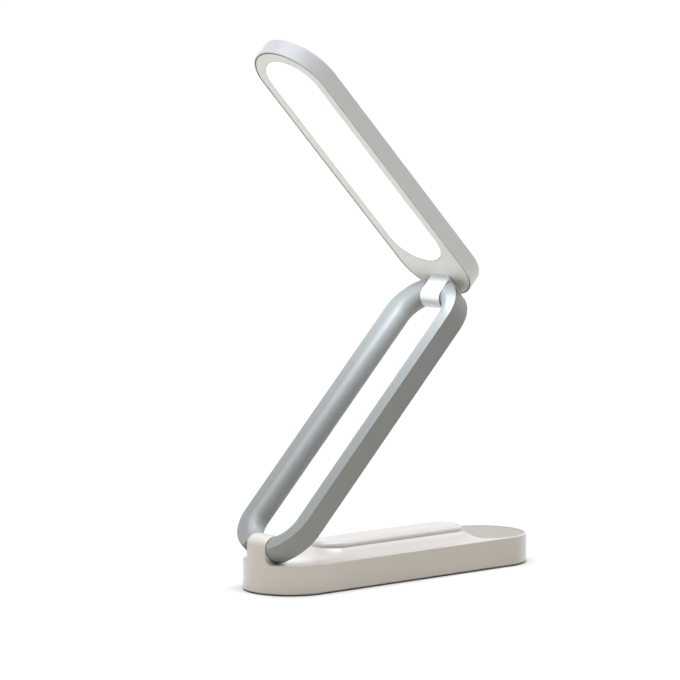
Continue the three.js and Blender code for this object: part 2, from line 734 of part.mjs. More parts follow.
// The whole outer form of the arm, before its channel and its hinge slots are cut
function armForm() {
  const edge = ARM_EDGE_ROUND;
  const section = [
    ...rounding(END_RADIUS - edge, edge - HALF_ARM, edge, -90, 0),
    ...rounding(END_RADIUS - edge, HALF_ARM - edge, edge, 0, 90),
    ...rounding(innerRadius + HALF_ARM, 0, HALF_ARM, 90, 270, END_STEPS * 2),
  ];
  let form = roundEnded(section, ringStart, ringEnd, true);
  for (const { x, outward } of hingeEnds) {
    const far = x + outward * (HINGE_INSET + OVERRUN);
    const wide = OUTLINE_WIDTH;
    const tall = ARM_THICKNESS;
    const outside = span(Math.min(x, far), Math.max(x, far), -wide, wide, -tall, tall);
    const notch = span(x - END_RADIUS, x + END_RADIUS, -HALF_NOTCH, HALF_NOTCH, -tall, tall);
    form = cut(form, notch, cut(outside, earEnvelope(x)));
  }
  return form;
}

// The front or back half of a piece of the arm: side is -1 for the front and 1 for the back
function armHalf(solid, side) {
  const far = side * OUTLINE_WIDTH;
  const half = span(
    -OUTLINE_LENGTH,
    OUTLINE_LENGTH,
    Math.min(0, far),
    Math.max(0, far),
    -ARM_THICKNESS,
    ARM_THICKNESS,
  );
  return common(solid, half);
}

// The slots through which the pins and sleeves drop into the ears, drawn in by an inset
function earSlots(inset) {
  const half = SLEEVE_HOLE_RADIUS - inset;
  const near = HALF_NOTCH + inset;
  const far = HALF_NOTCH + EAR_DEPTH - inset;
  const slots = hingeEnds.flatMap(({ x }) => [
    span(x - half, x + half, near - (GAP - inset), far, -ARM_THICKNESS, 0),
    span(x - half, x + half, -far, -near + (GAP - inset), -ARM_THICKNESS, 0),
  ]);
  return join(...slots);
}

function sleeveHoles() {
  const reach = HALF_NOTCH + EAR_DEPTH;
  return join(...hingeEnds.map(({ x }) => crossRod(SLEEVE_HOLE_RADIUS, x, 0, -reach, reach)));
}

function makeArmFrame(form) {
  const zone = HALF_NOTCH + EAR_DEPTH + ARM_WALL / 2;
  const long = HINGE_INSET;
  const tall = ARM_THICKNESS;
  const solidEars = join(
    ...hingeEnds.map(({ x }) => span(x - long, x + long, -zone, zone, -tall, tall)),
  );
  const channel = cut(armRing(ARM_WALL, -ARM_THICKNESS, HALF_ARM - ARM_CEILING), solidEars);
  const seat = armRing(ARM_WALL - ARM_COVER_LEDGE, -ARM_THICKNESS, coverFloor + GAP);
  const wireHoles = hingeEnds.map(({ x }) => crossRod(CABLE_RADIUS + GAP, x, 0, 0, zone + OVERRUN / 2));
  let frame = cut(form, channel, seat, earSlots(0), sleeveHoles(), ...wireHoles);
  const bossTop = cupFloor + GAP + SCREW_SHANK_LENGTH;
  for (const [x, y] of armScrews) {
    const half = SCREW_BOSS_RADIUS;
    const side = (ARM_CHANNEL + ARM_WALL) / 2;
    const boss = span(x - half, x + half, y - side, y + side, cupFloor + GAP, bossTop);
    frame = cut(join(frame, boss), screwHole(x, y, cupFloor, bossTop + OVERRUN / 2));
  }
  return frame;
}

function makeArmCover(form) {
  let plan = armRing(ARM_WALL - ARM_COVER_LEDGE + GAP, -ARM_THICKNESS, coverFloor);
  const reach = HALF_NOTCH + GAP;
  for (const { x } of hingeEnds) {
    const gate = span(x - HINGE_INSET - OVERRUN, x + HINGE_INSET, -reach, reach, -ARM_THICKNESS, 0);
    plan = cut(plan, gate);
  }
  let cover = common(form, join(plan, earSlots(GAP)));
  for (const [x, y] of armScrews) {
    const cup = ARM_CHANNEL / 2 - SNUG;
    cover = join(cover, uprightRod(cup, x, y, coverFloor - ARM_COVER_THICKNESS / 2, cupFloor));
    cover = cut(
      cover,
      screwHole(x, y, -ARM_THICKNESS, cupFloor + OVERRUN),
      uprightRod(SCREW_HEAD_RADIUS + SNUG, x, y, -ARM_THICKNESS, wellFloor),
    );
  }
  return cut(cover, sleeveHoles());
}

// From the back end of the base pin, through the back bar, to the back end of the head pin
function armWire() {
  const start = HALF_PIN + GAP;
  const lane = laneMiddle;
  const level = HALF_ARM - ARM_CEILING - GAP - CABLE_RADIUS;
  const bend = armBendShares.map(
    ([along, across, up]) =>
      new THREE.Vector3(along * ringStart, start + across * (lane - start), up * level),
  );
  const mirrored = bend.map(({ x, y, z }) => new THREE.Vector3(HINGE_SPAN - x, y, z)).reverse();
  const middle = new THREE.Vector3(HINGE_SPAN / 2, lane, level);
  return wire([...bend, middle, ...mirrored]);
}

const arm = new THREE.Group();
arm.position.set(HINGE_X, 0, HINGE_HEIGHT);
arm.rotation.y = -THREE.MathUtils.degToRad(ARM_ANGLE);
const armOuter = armForm();
const armFrame = makeArmFrame(armOuter);
const armCover = makeArmCover(armOuter);
for (const [end, side] of [["front", -1], ["back", 1]]) {
  arm.add(meshOf(`arm_frame_${end}`, armHalf(armFrame, side), armShell));
  arm.add(meshOf(`arm_cover_${end}`, armHalf(armCover, side), armShell));
}
armScrews.forEach(([x, y], i) => {
  arm.add(meshOf(`arm_screw_${i + 1}`, screw(x, y, wellFloor - SNUG, SCREW_SHANK_LENGTH), steel));
});
for (const [place, x] of [["base", 0], ["head", HINGE_SPAN]]) {
  for (const [end, side] of [["front", -1], ["back", 1]]) {
    const sleeve = meshOf(`${place}_hinge_sleeve_${end}`, hingeSleeve(side), brass);
    sleeve.position.x = x;
    arm.add(sleeve);
  }
}
arm.add(meshOf("arm_cable", armWire(), blackWire));

// Head, drawn with its hinge at the origin, its length along X and its lit face facing +Z

const litFace = -HINGE_INSET - FACE_CLEARANCE;
const headBack = litFace - HEAD_THICKNESS;
const bezelBottom = litFace - BEZEL_THICKNESS;
const windowEnd = OUTLINE_LENGTH - HINGE_INSET - BEZEL_TIP_MARGIN - WINDOW_RADIUS;
const windowStart = KNUCKLE_ROUND + KNUCKLE_ROOT_ROUND + BEZEL_ROOT_MARGIN + WINDOW_RADIUS;
const windowMiddle = (windowStart + windowEnd) / 2;
const headEnd = OUTLINE_LENGTH - HINGE_INSET - END_RADIUS;
const floor = headBack + HEAD_BACK;
const ledBottom = floor + LED_STANDOFF + GAP;
const ledTop = ledBottom + LED_BOARD_THICKNESS;
const flangeTop = bezelBottom - GAP;
const flangeBottom = flangeTop - DIFFUSER_FLANGE_THICKNESS;
const ledRadius = WINDOW_RADIUS - LED_BOARD_MARGIN;
const ledScrews = corners((windowEnd - windowStart) * ledScrewShare, 0, windowMiddle)
  .slice(0, 2)
  .concat(corners((windowEnd - windowStart) * (ledScrewShare / 3), 0, windowMiddle).slice(0, 2));

const windowPrism = (inset, low, high) =>
  roundEnded([[WINDOW_RADIUS - inset, low], [WINDOW_RADIUS - inset, high]], windowStart, windowEnd);

function makeHeadShell() {
  const outside = [
    ...rounding(END_RADIUS - HEAD_BACK_ROUND, headBack + HEAD_BACK_ROUND, HEAD_BACK_ROUND, -90, 0),
    ...rounding(END_RADIUS - HEAD_LIP_ROUND, litFace - HEAD_LIP_ROUND, HEAD_LIP_ROUND, 0, 90),
  ];
  let shell = cut(
    roundEnded(outside, ringStart, headEnd),
    outlinePrism(ringStart, headEnd, HEAD_WALL, floor, litFace + OVERRUN),
  );
  for (const [x, y] of ledScrews) {
    shell = join(shell, uprightRod(SCREW_BOSS_RADIUS, x, y, floor - HEAD_BACK / 2, ledBottom - GAP));
  }
  for (const [x, y] of ledScrews) {
    shell = cut(shell, screwHole(x, y, floor - HEAD_BACK / 2, ledTop));
  }
  return shell;
}

// The knuckle: a round eye on a tongue, with a concave round where it meets the lit face
function knuckleShape() {
  const eye = KNUCKLE_ROUND;
  const round = KNUCKLE_ROOT_ROUND;
  const shape = new THREE.Shape();
  shape.moveTo(-eye, bezelBottom);
  shape.lineTo(-eye, 0);
  shape.absarc(0, 0, eye, Math.PI, 0, true);
  shape.lineTo(eye, litFace + round);
  shape.absarc(eye + round, litFace + round, round, Math.PI, Math.PI * 1.5, false);
  shape.lineTo(eye + round, bezelBottom);
  shape.closePath();
  return shape;
}

function makeBezel() {
  const edge = END_RADIUS - HEAD_WALL - GAP;
  const face = END_RADIUS - HEAD_WALL - GROOVE_WIDTH;
  const plate = roundEnded(
    [
      [edge, bezelBottom],
      [edge, litFace - GROOVE_DEPTH],
      [face, litFace - GROOVE_DEPTH],
      [face, litFace],
    ],
    ringStart,
    headEnd,
  );
  const skirt = roundEnded(
    [
      [edge, bezelBottom - BEZEL_SKIRT_DEPTH],
      [edge, bezelBottom + BEZEL_THICKNESS / 2],
      [edge - BEZEL_SKIRT_WALL, bezelBottom + BEZEL_THICKNESS / 2],
      [edge - BEZEL_SKIRT_WALL, bezelBottom - BEZEL_SKIRT_DEPTH],
    ],
    ringStart,
    headEnd,
    true,
  );
  const knuckle = common(
    sideSlab(knuckleShape(), KNUCKLE_WIDTH),
    outlinePrism(ringStart, headEnd, HEAD_WALL + GAP, bezelBottom, KNUCKLE_ROUND + OVERRUN),
  );
  return cut(
    join(plate, skirt, knuckle),
    windowPrism(0, headBack, litFace + OVERRUN),
    crossRod(HOLE_RADIUS, 0, 0, -END_RADIUS, END_RADIUS),
    uprightRod(PIN_BORE_RADIUS + GAP, 0, 0, bezelBottom - OVERRUN, 0),
  );
}

function makeDiffuser() {
  const flange = WINDOW_RADIUS + DIFFUSER_FLANGE;
  const face = WINDOW_RADIUS - GAP;
  return roundEnded(
    [
      [flange, flangeBottom],
      [flange, flangeTop],
      [face, flangeTop],
      [face, litFace],
    ],
    windowStart,
    windowEnd,
  );
}

function makeTray() {
  const top = flangeBottom - GAP;
  const bottom = ledTop + GAP;
  const wide = WINDOW_RADIUS + DIFFUSER_FLANGE - SNUG;
  return roundEnded(
    [
      [wide - TRAY_SLOPE, bottom],
      [wide, top],
      [wide - TRAY_WALL, top],
      [wide - TRAY_WALL - TRAY_SLOPE, bottom],
    ],
    windowStart,
    windowEnd,
    true,
  );
}

function makeLedBoard() {
  let board = roundEnded([[ledRadius, ledBottom], [ledRadius, ledTop]], windowStart, windowEnd);
  const pitch = (windowEnd - windowStart) / (LED_COLUMNS - 1);
  for (let row = 0; row < LED_ROWS; row += 1) {
    const y = (row - (LED_ROWS - 1) / 2) * LED_ROW_SPACING;
    for (let column = 0; column < LED_COLUMNS; column += 1) {
      const x = windowStart + pitch * column;
      const chip = span(
        x - LED_LENGTH / 2,
        x + LED_LENGTH / 2,
        y - LED_WIDTH / 2,
        y + LED_WIDTH / 2,
        ledTop - LED_BOARD_THICKNESS / 2,
        ledTop + LED_HEIGHT,
      );
      board = join(board, chip);
    }
  }
  for (const [x, y] of ledScrews) {
    board = cut(board, screwHole(x, y, headBack, litFace));
  }
  return board;
}

// A pan-head screw whose head faces the lit side
function ledScrew(x, y) {
  const seat = ledTop + SNUG;
  return join(
    uprightRod(SCREW_HEAD_RADIUS, x, y, seat, seat + SCREW_HEAD_HEIGHT, SCREW_SIDES),
    uprightRod(
      SCREW_SHANK_RADIUS,
      x,
      y,
      seat - LED_SCREW_SHANK_LENGTH,
      seat + SCREW_HEAD_HEIGHT / 2,
      SCREW_SIDES,
    ),
  );
}

// From the back end of the head pin, into the knuckle, and under the bezel to the board
function headWire() {
  const bend = CABLE_BEND;
  const boardStart = windowStart - ledRadius;
  const level = ledTop - CABLE_RADIUS;
  const at = (x, y, z) => new THREE.Vector3(x, y, z);
  const route = [
    at(0, 0, 0),
    at(0, 0, -bend),
    at(0, 0, litFace + bend),
    at(0, 0, bezelBottom - bend / 3),
    at(bend / 2, 0, level + bend / 3),
    at(bend * 2, 0, level),
    at((boardStart + bend * 2) / 2, 0, level),
    at(boardStart - GAP, 0, level),
  ];
  return join(wire(route), wireInPin(0, 0));
}

const head = new THREE.Group();
head.position.x = HINGE_SPAN;
head.rotation.y = -THREE.MathUtils.degToRad(HEAD_ANGLE);
head.add(meshOf("head_shell", makeHeadShell(), headShell));
head.add(meshOf("head_bezel", makeBezel(), headShell));
head.add(meshOf("diffuser", makeDiffuser(), opal));
head.add(meshOf("reflector_tray", makeTray(), white));
head.add(meshOf("led_board", makeLedBoard(), white));
ledScrews.forEach(([x, y], i) => {
  head.add(meshOf(`led_board_screw_${i + 1}`, ledScrew(x, y), steel));
});
head.add(meshOf("head_hinge_pin", cut(hingePin(), pinWindow()), steel));
head.add(meshOf("head_cable", headWire(), blackWire));
arm.add(head);

const lamp = new THREE.Group();
lamp.add(base, arm);

export default lamp;
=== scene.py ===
import json
import math

import bmesh
import bpy
import numpy as np
from mathutils import Matrix, Vector


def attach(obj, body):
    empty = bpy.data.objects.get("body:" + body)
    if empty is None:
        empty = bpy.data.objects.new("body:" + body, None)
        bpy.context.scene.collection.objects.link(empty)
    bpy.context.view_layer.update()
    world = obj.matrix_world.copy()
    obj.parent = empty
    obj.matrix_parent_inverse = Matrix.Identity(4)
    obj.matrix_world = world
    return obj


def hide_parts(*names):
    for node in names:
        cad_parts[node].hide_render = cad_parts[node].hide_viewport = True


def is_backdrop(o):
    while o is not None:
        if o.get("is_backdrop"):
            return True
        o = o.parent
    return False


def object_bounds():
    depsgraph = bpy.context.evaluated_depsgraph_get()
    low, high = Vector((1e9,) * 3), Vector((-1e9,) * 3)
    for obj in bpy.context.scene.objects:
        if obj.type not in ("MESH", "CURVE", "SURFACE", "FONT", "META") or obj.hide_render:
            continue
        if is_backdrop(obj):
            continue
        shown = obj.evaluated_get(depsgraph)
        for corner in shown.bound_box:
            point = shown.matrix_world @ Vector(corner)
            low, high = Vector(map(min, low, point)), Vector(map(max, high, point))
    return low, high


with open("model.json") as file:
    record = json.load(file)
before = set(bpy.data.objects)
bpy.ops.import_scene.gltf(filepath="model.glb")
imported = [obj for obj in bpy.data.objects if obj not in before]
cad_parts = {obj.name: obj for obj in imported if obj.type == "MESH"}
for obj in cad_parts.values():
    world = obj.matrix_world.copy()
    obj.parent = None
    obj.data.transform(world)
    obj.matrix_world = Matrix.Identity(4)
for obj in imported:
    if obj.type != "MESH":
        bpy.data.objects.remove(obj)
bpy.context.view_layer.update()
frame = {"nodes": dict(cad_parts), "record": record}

# ---- sizes in millimetres: those of the part's source, and of small forms that it lacks

# The outline that the base, the arm and the head share. R is the radius of its round ends, and
# STRAIGHT the distance of their centres from its middle.
LENGTH = 200.0
WIDTH = 51.6
R = WIDTH / 2
STRAIGHT = LENGTH / 2 - R
GAP = 0.3
SNUG = 0.15
OVERRUN = 3.0

# Hinges
INSET = 9.1
SPAN = LENGTH - INSET * 2
EAR_CLEARANCE = 0.5
FACE_CLEARANCE = 0.7
HALF_KNUCKLE = 7.7
NOTCH = HALF_KNUCKLE + GAP
EAR_DEPTH = 6.5
EAR_ROUND = 2.6
PIN_HOLE_R = 2.6
SLEEVE_HOLE_R = 3.7
WIRE_HOLE_R = 1.6

# Base
BASE_H = 16.8
BASE_WALL = 2.2
BASE_TOP = 2.4
BASE_CEILING = BASE_H - BASE_TOP
BOTTOM_ROUND = 1.0
RIM_ROUND = 0.5
FOOT_PROUD = 0.6
COVER_TOP = 2.6
COVER_ROUND = 0.3
CELL_R = 9.15
CELL_Z = 12.65
ISLAND_TOP = 24.65
ISLAND_R = 12.0
ISLAND_STEP = 3.4
ISLAND_ROUND = 3.2
ISLAND_REACH = 4.0
MOUND_MARGIN = 0.6
MOUND_TOP = ISLAND_TOP - ISLAND_STEP
TOUCH_R = 24.0
ISLAND_MID = STRAIGHT - TOUCH_R + ISLAND_REACH - ISLAND_R
HINGE_X = INSET - LENGTH / 2
HINGE_Z = BASE_H + EAR_CLEARANCE + INSET

# Hinge post
POST_R = 5.9
POST_FILLET = 3.4
POST_EDGE = 0.5
POST_ROOT = 12.0
DOME_REACH = 7.7
DOME_ROOT = 5.0

# Touch panel
PANEL_FLOOR = 15.5
PANEL_BACKING = 1.2
PANEL_LIP = 0.25
CONTACT_HOLE_R = 4.3
PAD_LOW = 15.8
PAD_TOP = 16.6
PAD_CHAMFER = 0.1
PAD_ROUND = 0.3

# Charging socket
SOCKET_Z = 8.7
SOCKET_WIDTH = 9.0
SOCKET_HEIGHT = 3.3
SOCKET_DEPTH = 7.3
SOCKET_WALL = 0.4
SOCKET_TONGUE = 0.7
TONGUE_HALF_WIDTH = 2.85
MOUTH = LENGTH / 2 - 0.5
MOUTH_MARGIN = 1.3
MOUTH_DEPTH = 0.35

# Screws, their holes and the bosses that they go into
SCREW_HEAD_R = 1.6
SCREW_HEAD = 0.9
SHANK_R = 0.8
SHANK_LENGTH = 4.5
LED_SHANK_LENGTH = 1.45
THREAD_DEPTH = 0.16
THREAD_PITCH = 0.5
CROSS_REACH = 0.95
CROSS_HALF = 0.16
CROSS_DEPTH = 0.45
PILOT_R = 1.1
HEAD_HOLE_R = 1.9
BOSS_R = 2.2
BOSS_WALL = 1.1
CORNERS = [(-1, -1), (1, -1), (1, 1), (-1, 1)]
COVER_SCREWS = [(sx * 62.0, sy * 21.55) for sx, sy in CORNERS]
COVER_BOSS_TOP = 15.6
COVER_PILOT_TOP = 7.4
COVER_HOLE_TOP = 5.0
BOARD_MID = 71.86666667
BOARD_SCREWS = [(BOARD_MID + sx * 14.1, sy * 10.56) for sx, sy in CORNERS]
BOARD_UNDER = 4.85
BOARD_BOSS_LOW = 7.05
BOARD_BOSS_TOP = 15.2
BOARD_PILOT_LOW = 6.0
BOARD_PILOT_TOP = 11.25

# Feet and the cradle ribs of the battery cell
FEET = [(sx * 76.0, sy * 12.0) for sx, sy in CORNERS]
FOOT_R = 5.0
FOOT_TOP = 1.3
FOOT_ROUND = 0.4
RIB_X = 22.0
RIB_HALF = 1.25
RIB_LOW = 1.4
RIB_TOP = 7.0

# Arm
ARM_THICKNESS = 13.0
HALF_ARM = ARM_THICKNESS / 2
ARM_EDGE = 0.3
LANE = 7.5
ISLAND_CLEARANCE = 1.6
ARM_WALL = 1.5
ARM_CEILING = 1.8
ARM_COVER = 1.1
COVER_SEAT = 0.9
COVER_FLOOR = ARM_COVER - HALF_ARM
EAR_END = NOTCH + EAR_DEPTH
CHANNEL_END = EAR_END + 0.75
ARM_WIRE_R = 1.0
WELL = SCREW_HEAD + GAP - HALF_ARM
WELL_R = 1.75
CUP_R = 2.1
CUP_SUNK = 0.55
CUP_FLOOR = WELL + BOSS_WALL
ARM_BOSS_HALF_LENGTH = 2.2
ARM_BOSS_HALF_WIDTH = 3.0
ARM_BOSS_TOP = 0.6
ARM_PILOT_TOP = 2.1
ARM_SCREW_SHARE = 0.16
ARM_SCREW_X = SPAN / 2 - SPAN * ARM_SCREW_SHARE
ARM_SCREWS = [(SPAN / 2 + sx * ARM_SCREW_X, sy * (R - LANE / 2)) for sx, sy in CORNERS]
RING_START = R - INSET
RING_END = SPAN - RING_START

# Head. LIT is the level of its lit face, BACK_LEVEL that of its back.
HEAD_THICKNESS = 10.4
LIT = -INSET - FACE_CLEARANCE
BACK_LEVEL = LIT - HEAD_THICKNESS
HEAD_END = LENGTH - INSET - R
HEAD_WALL = 1.3
HEAD_BACK = 1.6
BACK_ROUND = 1.2
LIP_ROUND = 0.25
LIP_WIDTH = 0.5
GROOVE_DEPTH = 0.9
LED_STANDOFF = 1.2
LED_BOARD = 1.0
FLOOR_LEVEL = BACK_LEVEL + HEAD_BACK
LED_TOP = FLOOR_LEVEL + LED_STANDOFF + GAP + LED_BOARD

# Bezel with its knuckle, and diffuser
BEZEL = 2.0
BEZEL_UNDER = LIT - BEZEL
BEZEL_EDGE = R - 1.6
BEZEL_FACE = R - 1.25
BEZEL_FLANGE = 0.75
BEZEL_CHAMFER = 0.1
SKIRT_WALL = 1.2
SKIRT_DEPTH = 2.4
KNUCKLE_R = 6.5
KNUCKLE_ROOT = 2.5
KNUCKLE_EDGE = 0.35
WINDOW_R = R - 7.0
WINDOW_END = LENGTH - INSET - 7.5 - WINDOW_R
WINDOW_START = KNUCKLE_R + KNUCKLE_ROOT + 10.4 + WINDOW_R
WINDOW_MID = (WINDOW_START + WINDOW_END) / 2
LED_SCREW_SHARE = 0.44
LED_SCREW_X = (WINDOW_END - WINDOW_START) * LED_SCREW_SHARE
LED_SCREWS = [
    (WINDOW_MID - LED_SCREW_X, 0),
    (WINDOW_MID + LED_SCREW_X, 0),
    (WINDOW_MID - LED_SCREW_X / 3, 0),
    (WINDOW_MID + LED_SCREW_X / 3, 0),
]
DIFFUSER_FLANGE = 1.4
DIFFUSER_FLANGE_UNDER = 1.3
DIFFUSER_ROUND = 0.3

# Where shapes that only cut or bound others begin and end. INSIDE_BASE is a level in the base's
# hollow.
INSIDE_BASE = 10.0
DEEP = 20.0
ACROSS = 30.0
FAR = 40.0
AROUND = 60.0
PAST_ARM = 260.0

# Steps in each round end of the outline, and in full turns of thin rods, screws, screw wells,
# rods, turned pieces, large recesses and the touch pad
END_STEPS = 40
THIN_STEPS = 24
SCREW_STEPS = 28
WELL_STEPS = 32
ROD_STEPS = 48
TURNED_STEPS = 64
LARGE_STEPS = 96
PAD_STEPS = 128

# From millimetres in the space of a body to metres in the frame
MM = Matrix.Scale(0.001, 4)
BASE = Matrix.Identity(4)
ARM = Matrix.Translation((HINGE_X, 0, HINGE_Z)) @ Matrix.Rotation(math.radians(-45), 4, "Y")
HEAD = ARM @ Matrix.Translation((SPAN, 0, 0)) @ Matrix.Rotation(math.radians(-90), 4, "Y")
SPACE = {"base": BASE, "arm": ARM, "head": HEAD}


# ---- mesh helpers: shapes are drawn in millimetres in the space of the body that they ride on

def mesh_from(verts, faces):
    mesh = bpy.data.meshes.new("work")
    mesh.from_pydata([tuple(map(float, v)) for v in verts], [], [tuple(f) for f in faces])
    work = bmesh.new()
    work.from_mesh(mesh)
    bmesh.ops.recalc_face_normals(work, faces=work.faces)
    if work.calc_volume(signed=True) < 0:
        bmesh.ops.reverse_faces(work, faces=work.faces)
    work.to_mesh(mesh)
    work.free()
    return mesh


def skin(rings, closed=False):
    """Quads between rings of equal count. An open stack is capped at both ends."""
    n = len(rings[0])
    verts = [v for ring in rings for v in ring]
    faces = []
    count = len(rings)
    for k in range(count if closed else count - 1):
        a = k * n
        b = ((k + 1) % count) * n
        for i in range(n):
            j = (i + 1) % n
            faces.append((a + i, a + j, b + j, b + i))
    if not closed:
        faces.append(tuple(reversed(range(n))))
        faces.append(tuple(range((count - 1) * n, count * n)))
    return mesh_from(verts, faces)


def outline(radius, z, start=-STRAIGHT, end=STRAIGHT):
    """One ring of the round-ended outline."""
    points = []
    for centre, base in ((end, -math.pi / 2), (start, math.pi / 2)):
        for i in range(END_STEPS + 1):
            a = base + math.pi * i / END_STEPS
            points.append((centre + radius * math.cos(a), radius * math.sin(a), z))
    return points


def arc(cx, cz, r, a0, a1, steps):
    """Points [across, up] of a round between two angles in degrees."""
    out = []
    for i in range(steps + 1):
        a = math.radians(a0 + (a1 - a0) * i / steps)
        out.append((cx + r * math.cos(a), cz + r * math.sin(a)))
    return out


def capsule(profile, start=-STRAIGHT, end=STRAIGHT, closed=False):
    """A round-ended solid. The profile is [radius, up], and a closed one makes a ring."""
    return skin([outline(r, z, start, end) for r, z in profile], closed)


def lathe(profile, place=(0, 0, 0), axis="Z", steps=TURNED_STEPS):
    """A turned solid. The profile is [radius, along] from one end of the axis to the other."""
    rings = []
    for r, h in profile:
        ring = []
        for i in range(steps):
            a = 2 * math.pi * i / steps
            c = r * math.cos(a)
            s = r * math.sin(a)
            point = {"Z": (c, s, h), "Y": (c, h, -s), "X": (h, c, s)}[axis]
            ring.append(tuple(p + q for p, q in zip(point, place)))
        rings.append(ring)
    return skin(rings)


def rod(radius, low, high, place=(0, 0, 0), axis="Z", steps=ROD_STEPS):
    return lathe([(radius, low), (radius, high)], place, axis, steps)


def block(x0, x1, y0, y1, z0, z1):
    verts = [(x, y, z) for z in (z0, z1) for y in (y0, y1) for x in (x0, x1)]
    faces = [(0, 2, 3, 1), (4, 5, 7, 6), (0, 1, 5, 4), (2, 6, 7, 3), (0, 4, 6, 2), (1, 3, 7, 5)]
    return mesh_from(verts, faces)


def slab(shape, half, edge):
    """A shape of [x, z] points, as wide as twice half along Y, with its side edges rounded."""
    points = np.array(shape, float)
    before = np.roll(points, 1, 0)
    after = np.roll(points, -1, 0)
    d1 = points - before
    d2 = after - points
    d1 /= np.linalg.norm(d1, axis=1)[:, None]
    d2 /= np.linalg.norm(d2, axis=1)[:, None]
    tangent = d1 + d2
    tangent /= np.linalg.norm(tangent, axis=1)[:, None]
    inward = np.stack([-tangent[:, 1], tangent[:, 0]], 1)
    area = np.sum(points[:, 0] * after[:, 1] - after[:, 0] * points[:, 1])
    inward *= 1 if area > 0 else -1
    turns = [math.radians(angle) for angle in (0, 22.5, 45, 67.5, 90)]
    rounds = [(half - edge * (1 - math.sin(t)), edge * (1 - math.cos(t))) for t in turns]
    levels = [(-y, inset) for y, inset in reversed(rounds)] + rounds
    return skin([[(x, y, z) for x, z in points + inward * inset] for y, inset in levels])


def combine(kind, first, *others):
    result = first
    for other in others:
        a = bpy.data.objects.new("work_a", result)
        b = bpy.data.objects.new("work_b", other)
        for o in (a, b):
            bpy.context.scene.collection.objects.link(o)
        step = a.modifiers.new("step", "BOOLEAN")
        step.operation = kind
        step.solver = "MANIFOLD"
        step.object = b
        graph = bpy.context.evaluated_depsgraph_get()
        made = bpy.data.meshes.new_from_object(a.evaluated_get(graph), depsgraph=graph)
        for o in (a, b):
            bpy.data.objects.remove(o)
        result = made
    return result


def cut(first, *others):
    return combine("DIFFERENCE", first, *others)


def join(first, *others):
    return combine("UNION", first, *others)


def common(first, *others):
    return combine("INTERSECT", first, *others)


# Edges sharper than this stay sharp. Points within WELD of each other, in metres, become one, and
# edges shorter than SPECK are taken out.
SHARP_ANGLE = math.radians(32)
WELD = 2e-7
SPECK = 1e-7


def piece(name, mesh, body, look, replaced):
    """Puts a mesh in place as a named piece that rides on a body and replaces CAD nodes."""
    mesh = mesh.copy()
    mesh.name = name
    mesh.transform(MM @ SPACE[body])
    work = bmesh.new()
    work.from_mesh(mesh)
    bmesh.ops.remove_doubles(work, verts=work.verts, dist=WELD)
    bmesh.ops.dissolve_degenerate(work, edges=work.edges, dist=SPECK)
    for edge in work.edges:
        edge.smooth = len(edge.link_faces) == 2 and edge.calc_face_angle(0) < SHARP_ANGLE
    for face in work.faces:
        face.smooth = True
        face.material_index = 0
    work.to_mesh(mesh)
    work.free()
    mesh.materials.clear()
    mesh.materials.append(look)
    obj = bpy.data.objects.new(name, mesh)
    bpy.context.scene.collection.objects.link(obj)
    weigh = obj.modifiers.new("weigh", "WEIGHTED_NORMAL")
    weigh.keep_sharp = True
    weigh.weight = 100
    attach(obj, body)
    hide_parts(*replaced)
    return obj


# ---- materials

MOTTLE_SCALE = 60.0
# How far the painted shade in creases and seams reaches, in metres, and how many samples it takes
PAINTED_SHADE_REACH = 0.0015
PAINTED_SHADE_SAMPLES = 8
OPAL_LIGHT = "eff7ff"


def srgb(text):
    """The linear colour of six hexadecimal digits."""
    out = []
    for i in (0, 2, 4):
        v = int(text[i:i + 2], 16) / 255
        out.append(v / 12.92 if v <= 0.04045 else ((v + 0.055) / 1.055) ** 2.4)
    return (*out, 1.0)


def add_node(tree, kind, **values):
    """A new node with some of its inputs set. From_Min sets the input From Min."""
    made = tree.nodes.new(kind)
    for name, value in values.items():
        made.inputs[name.replace("_", " ")].default_value = value
    return made


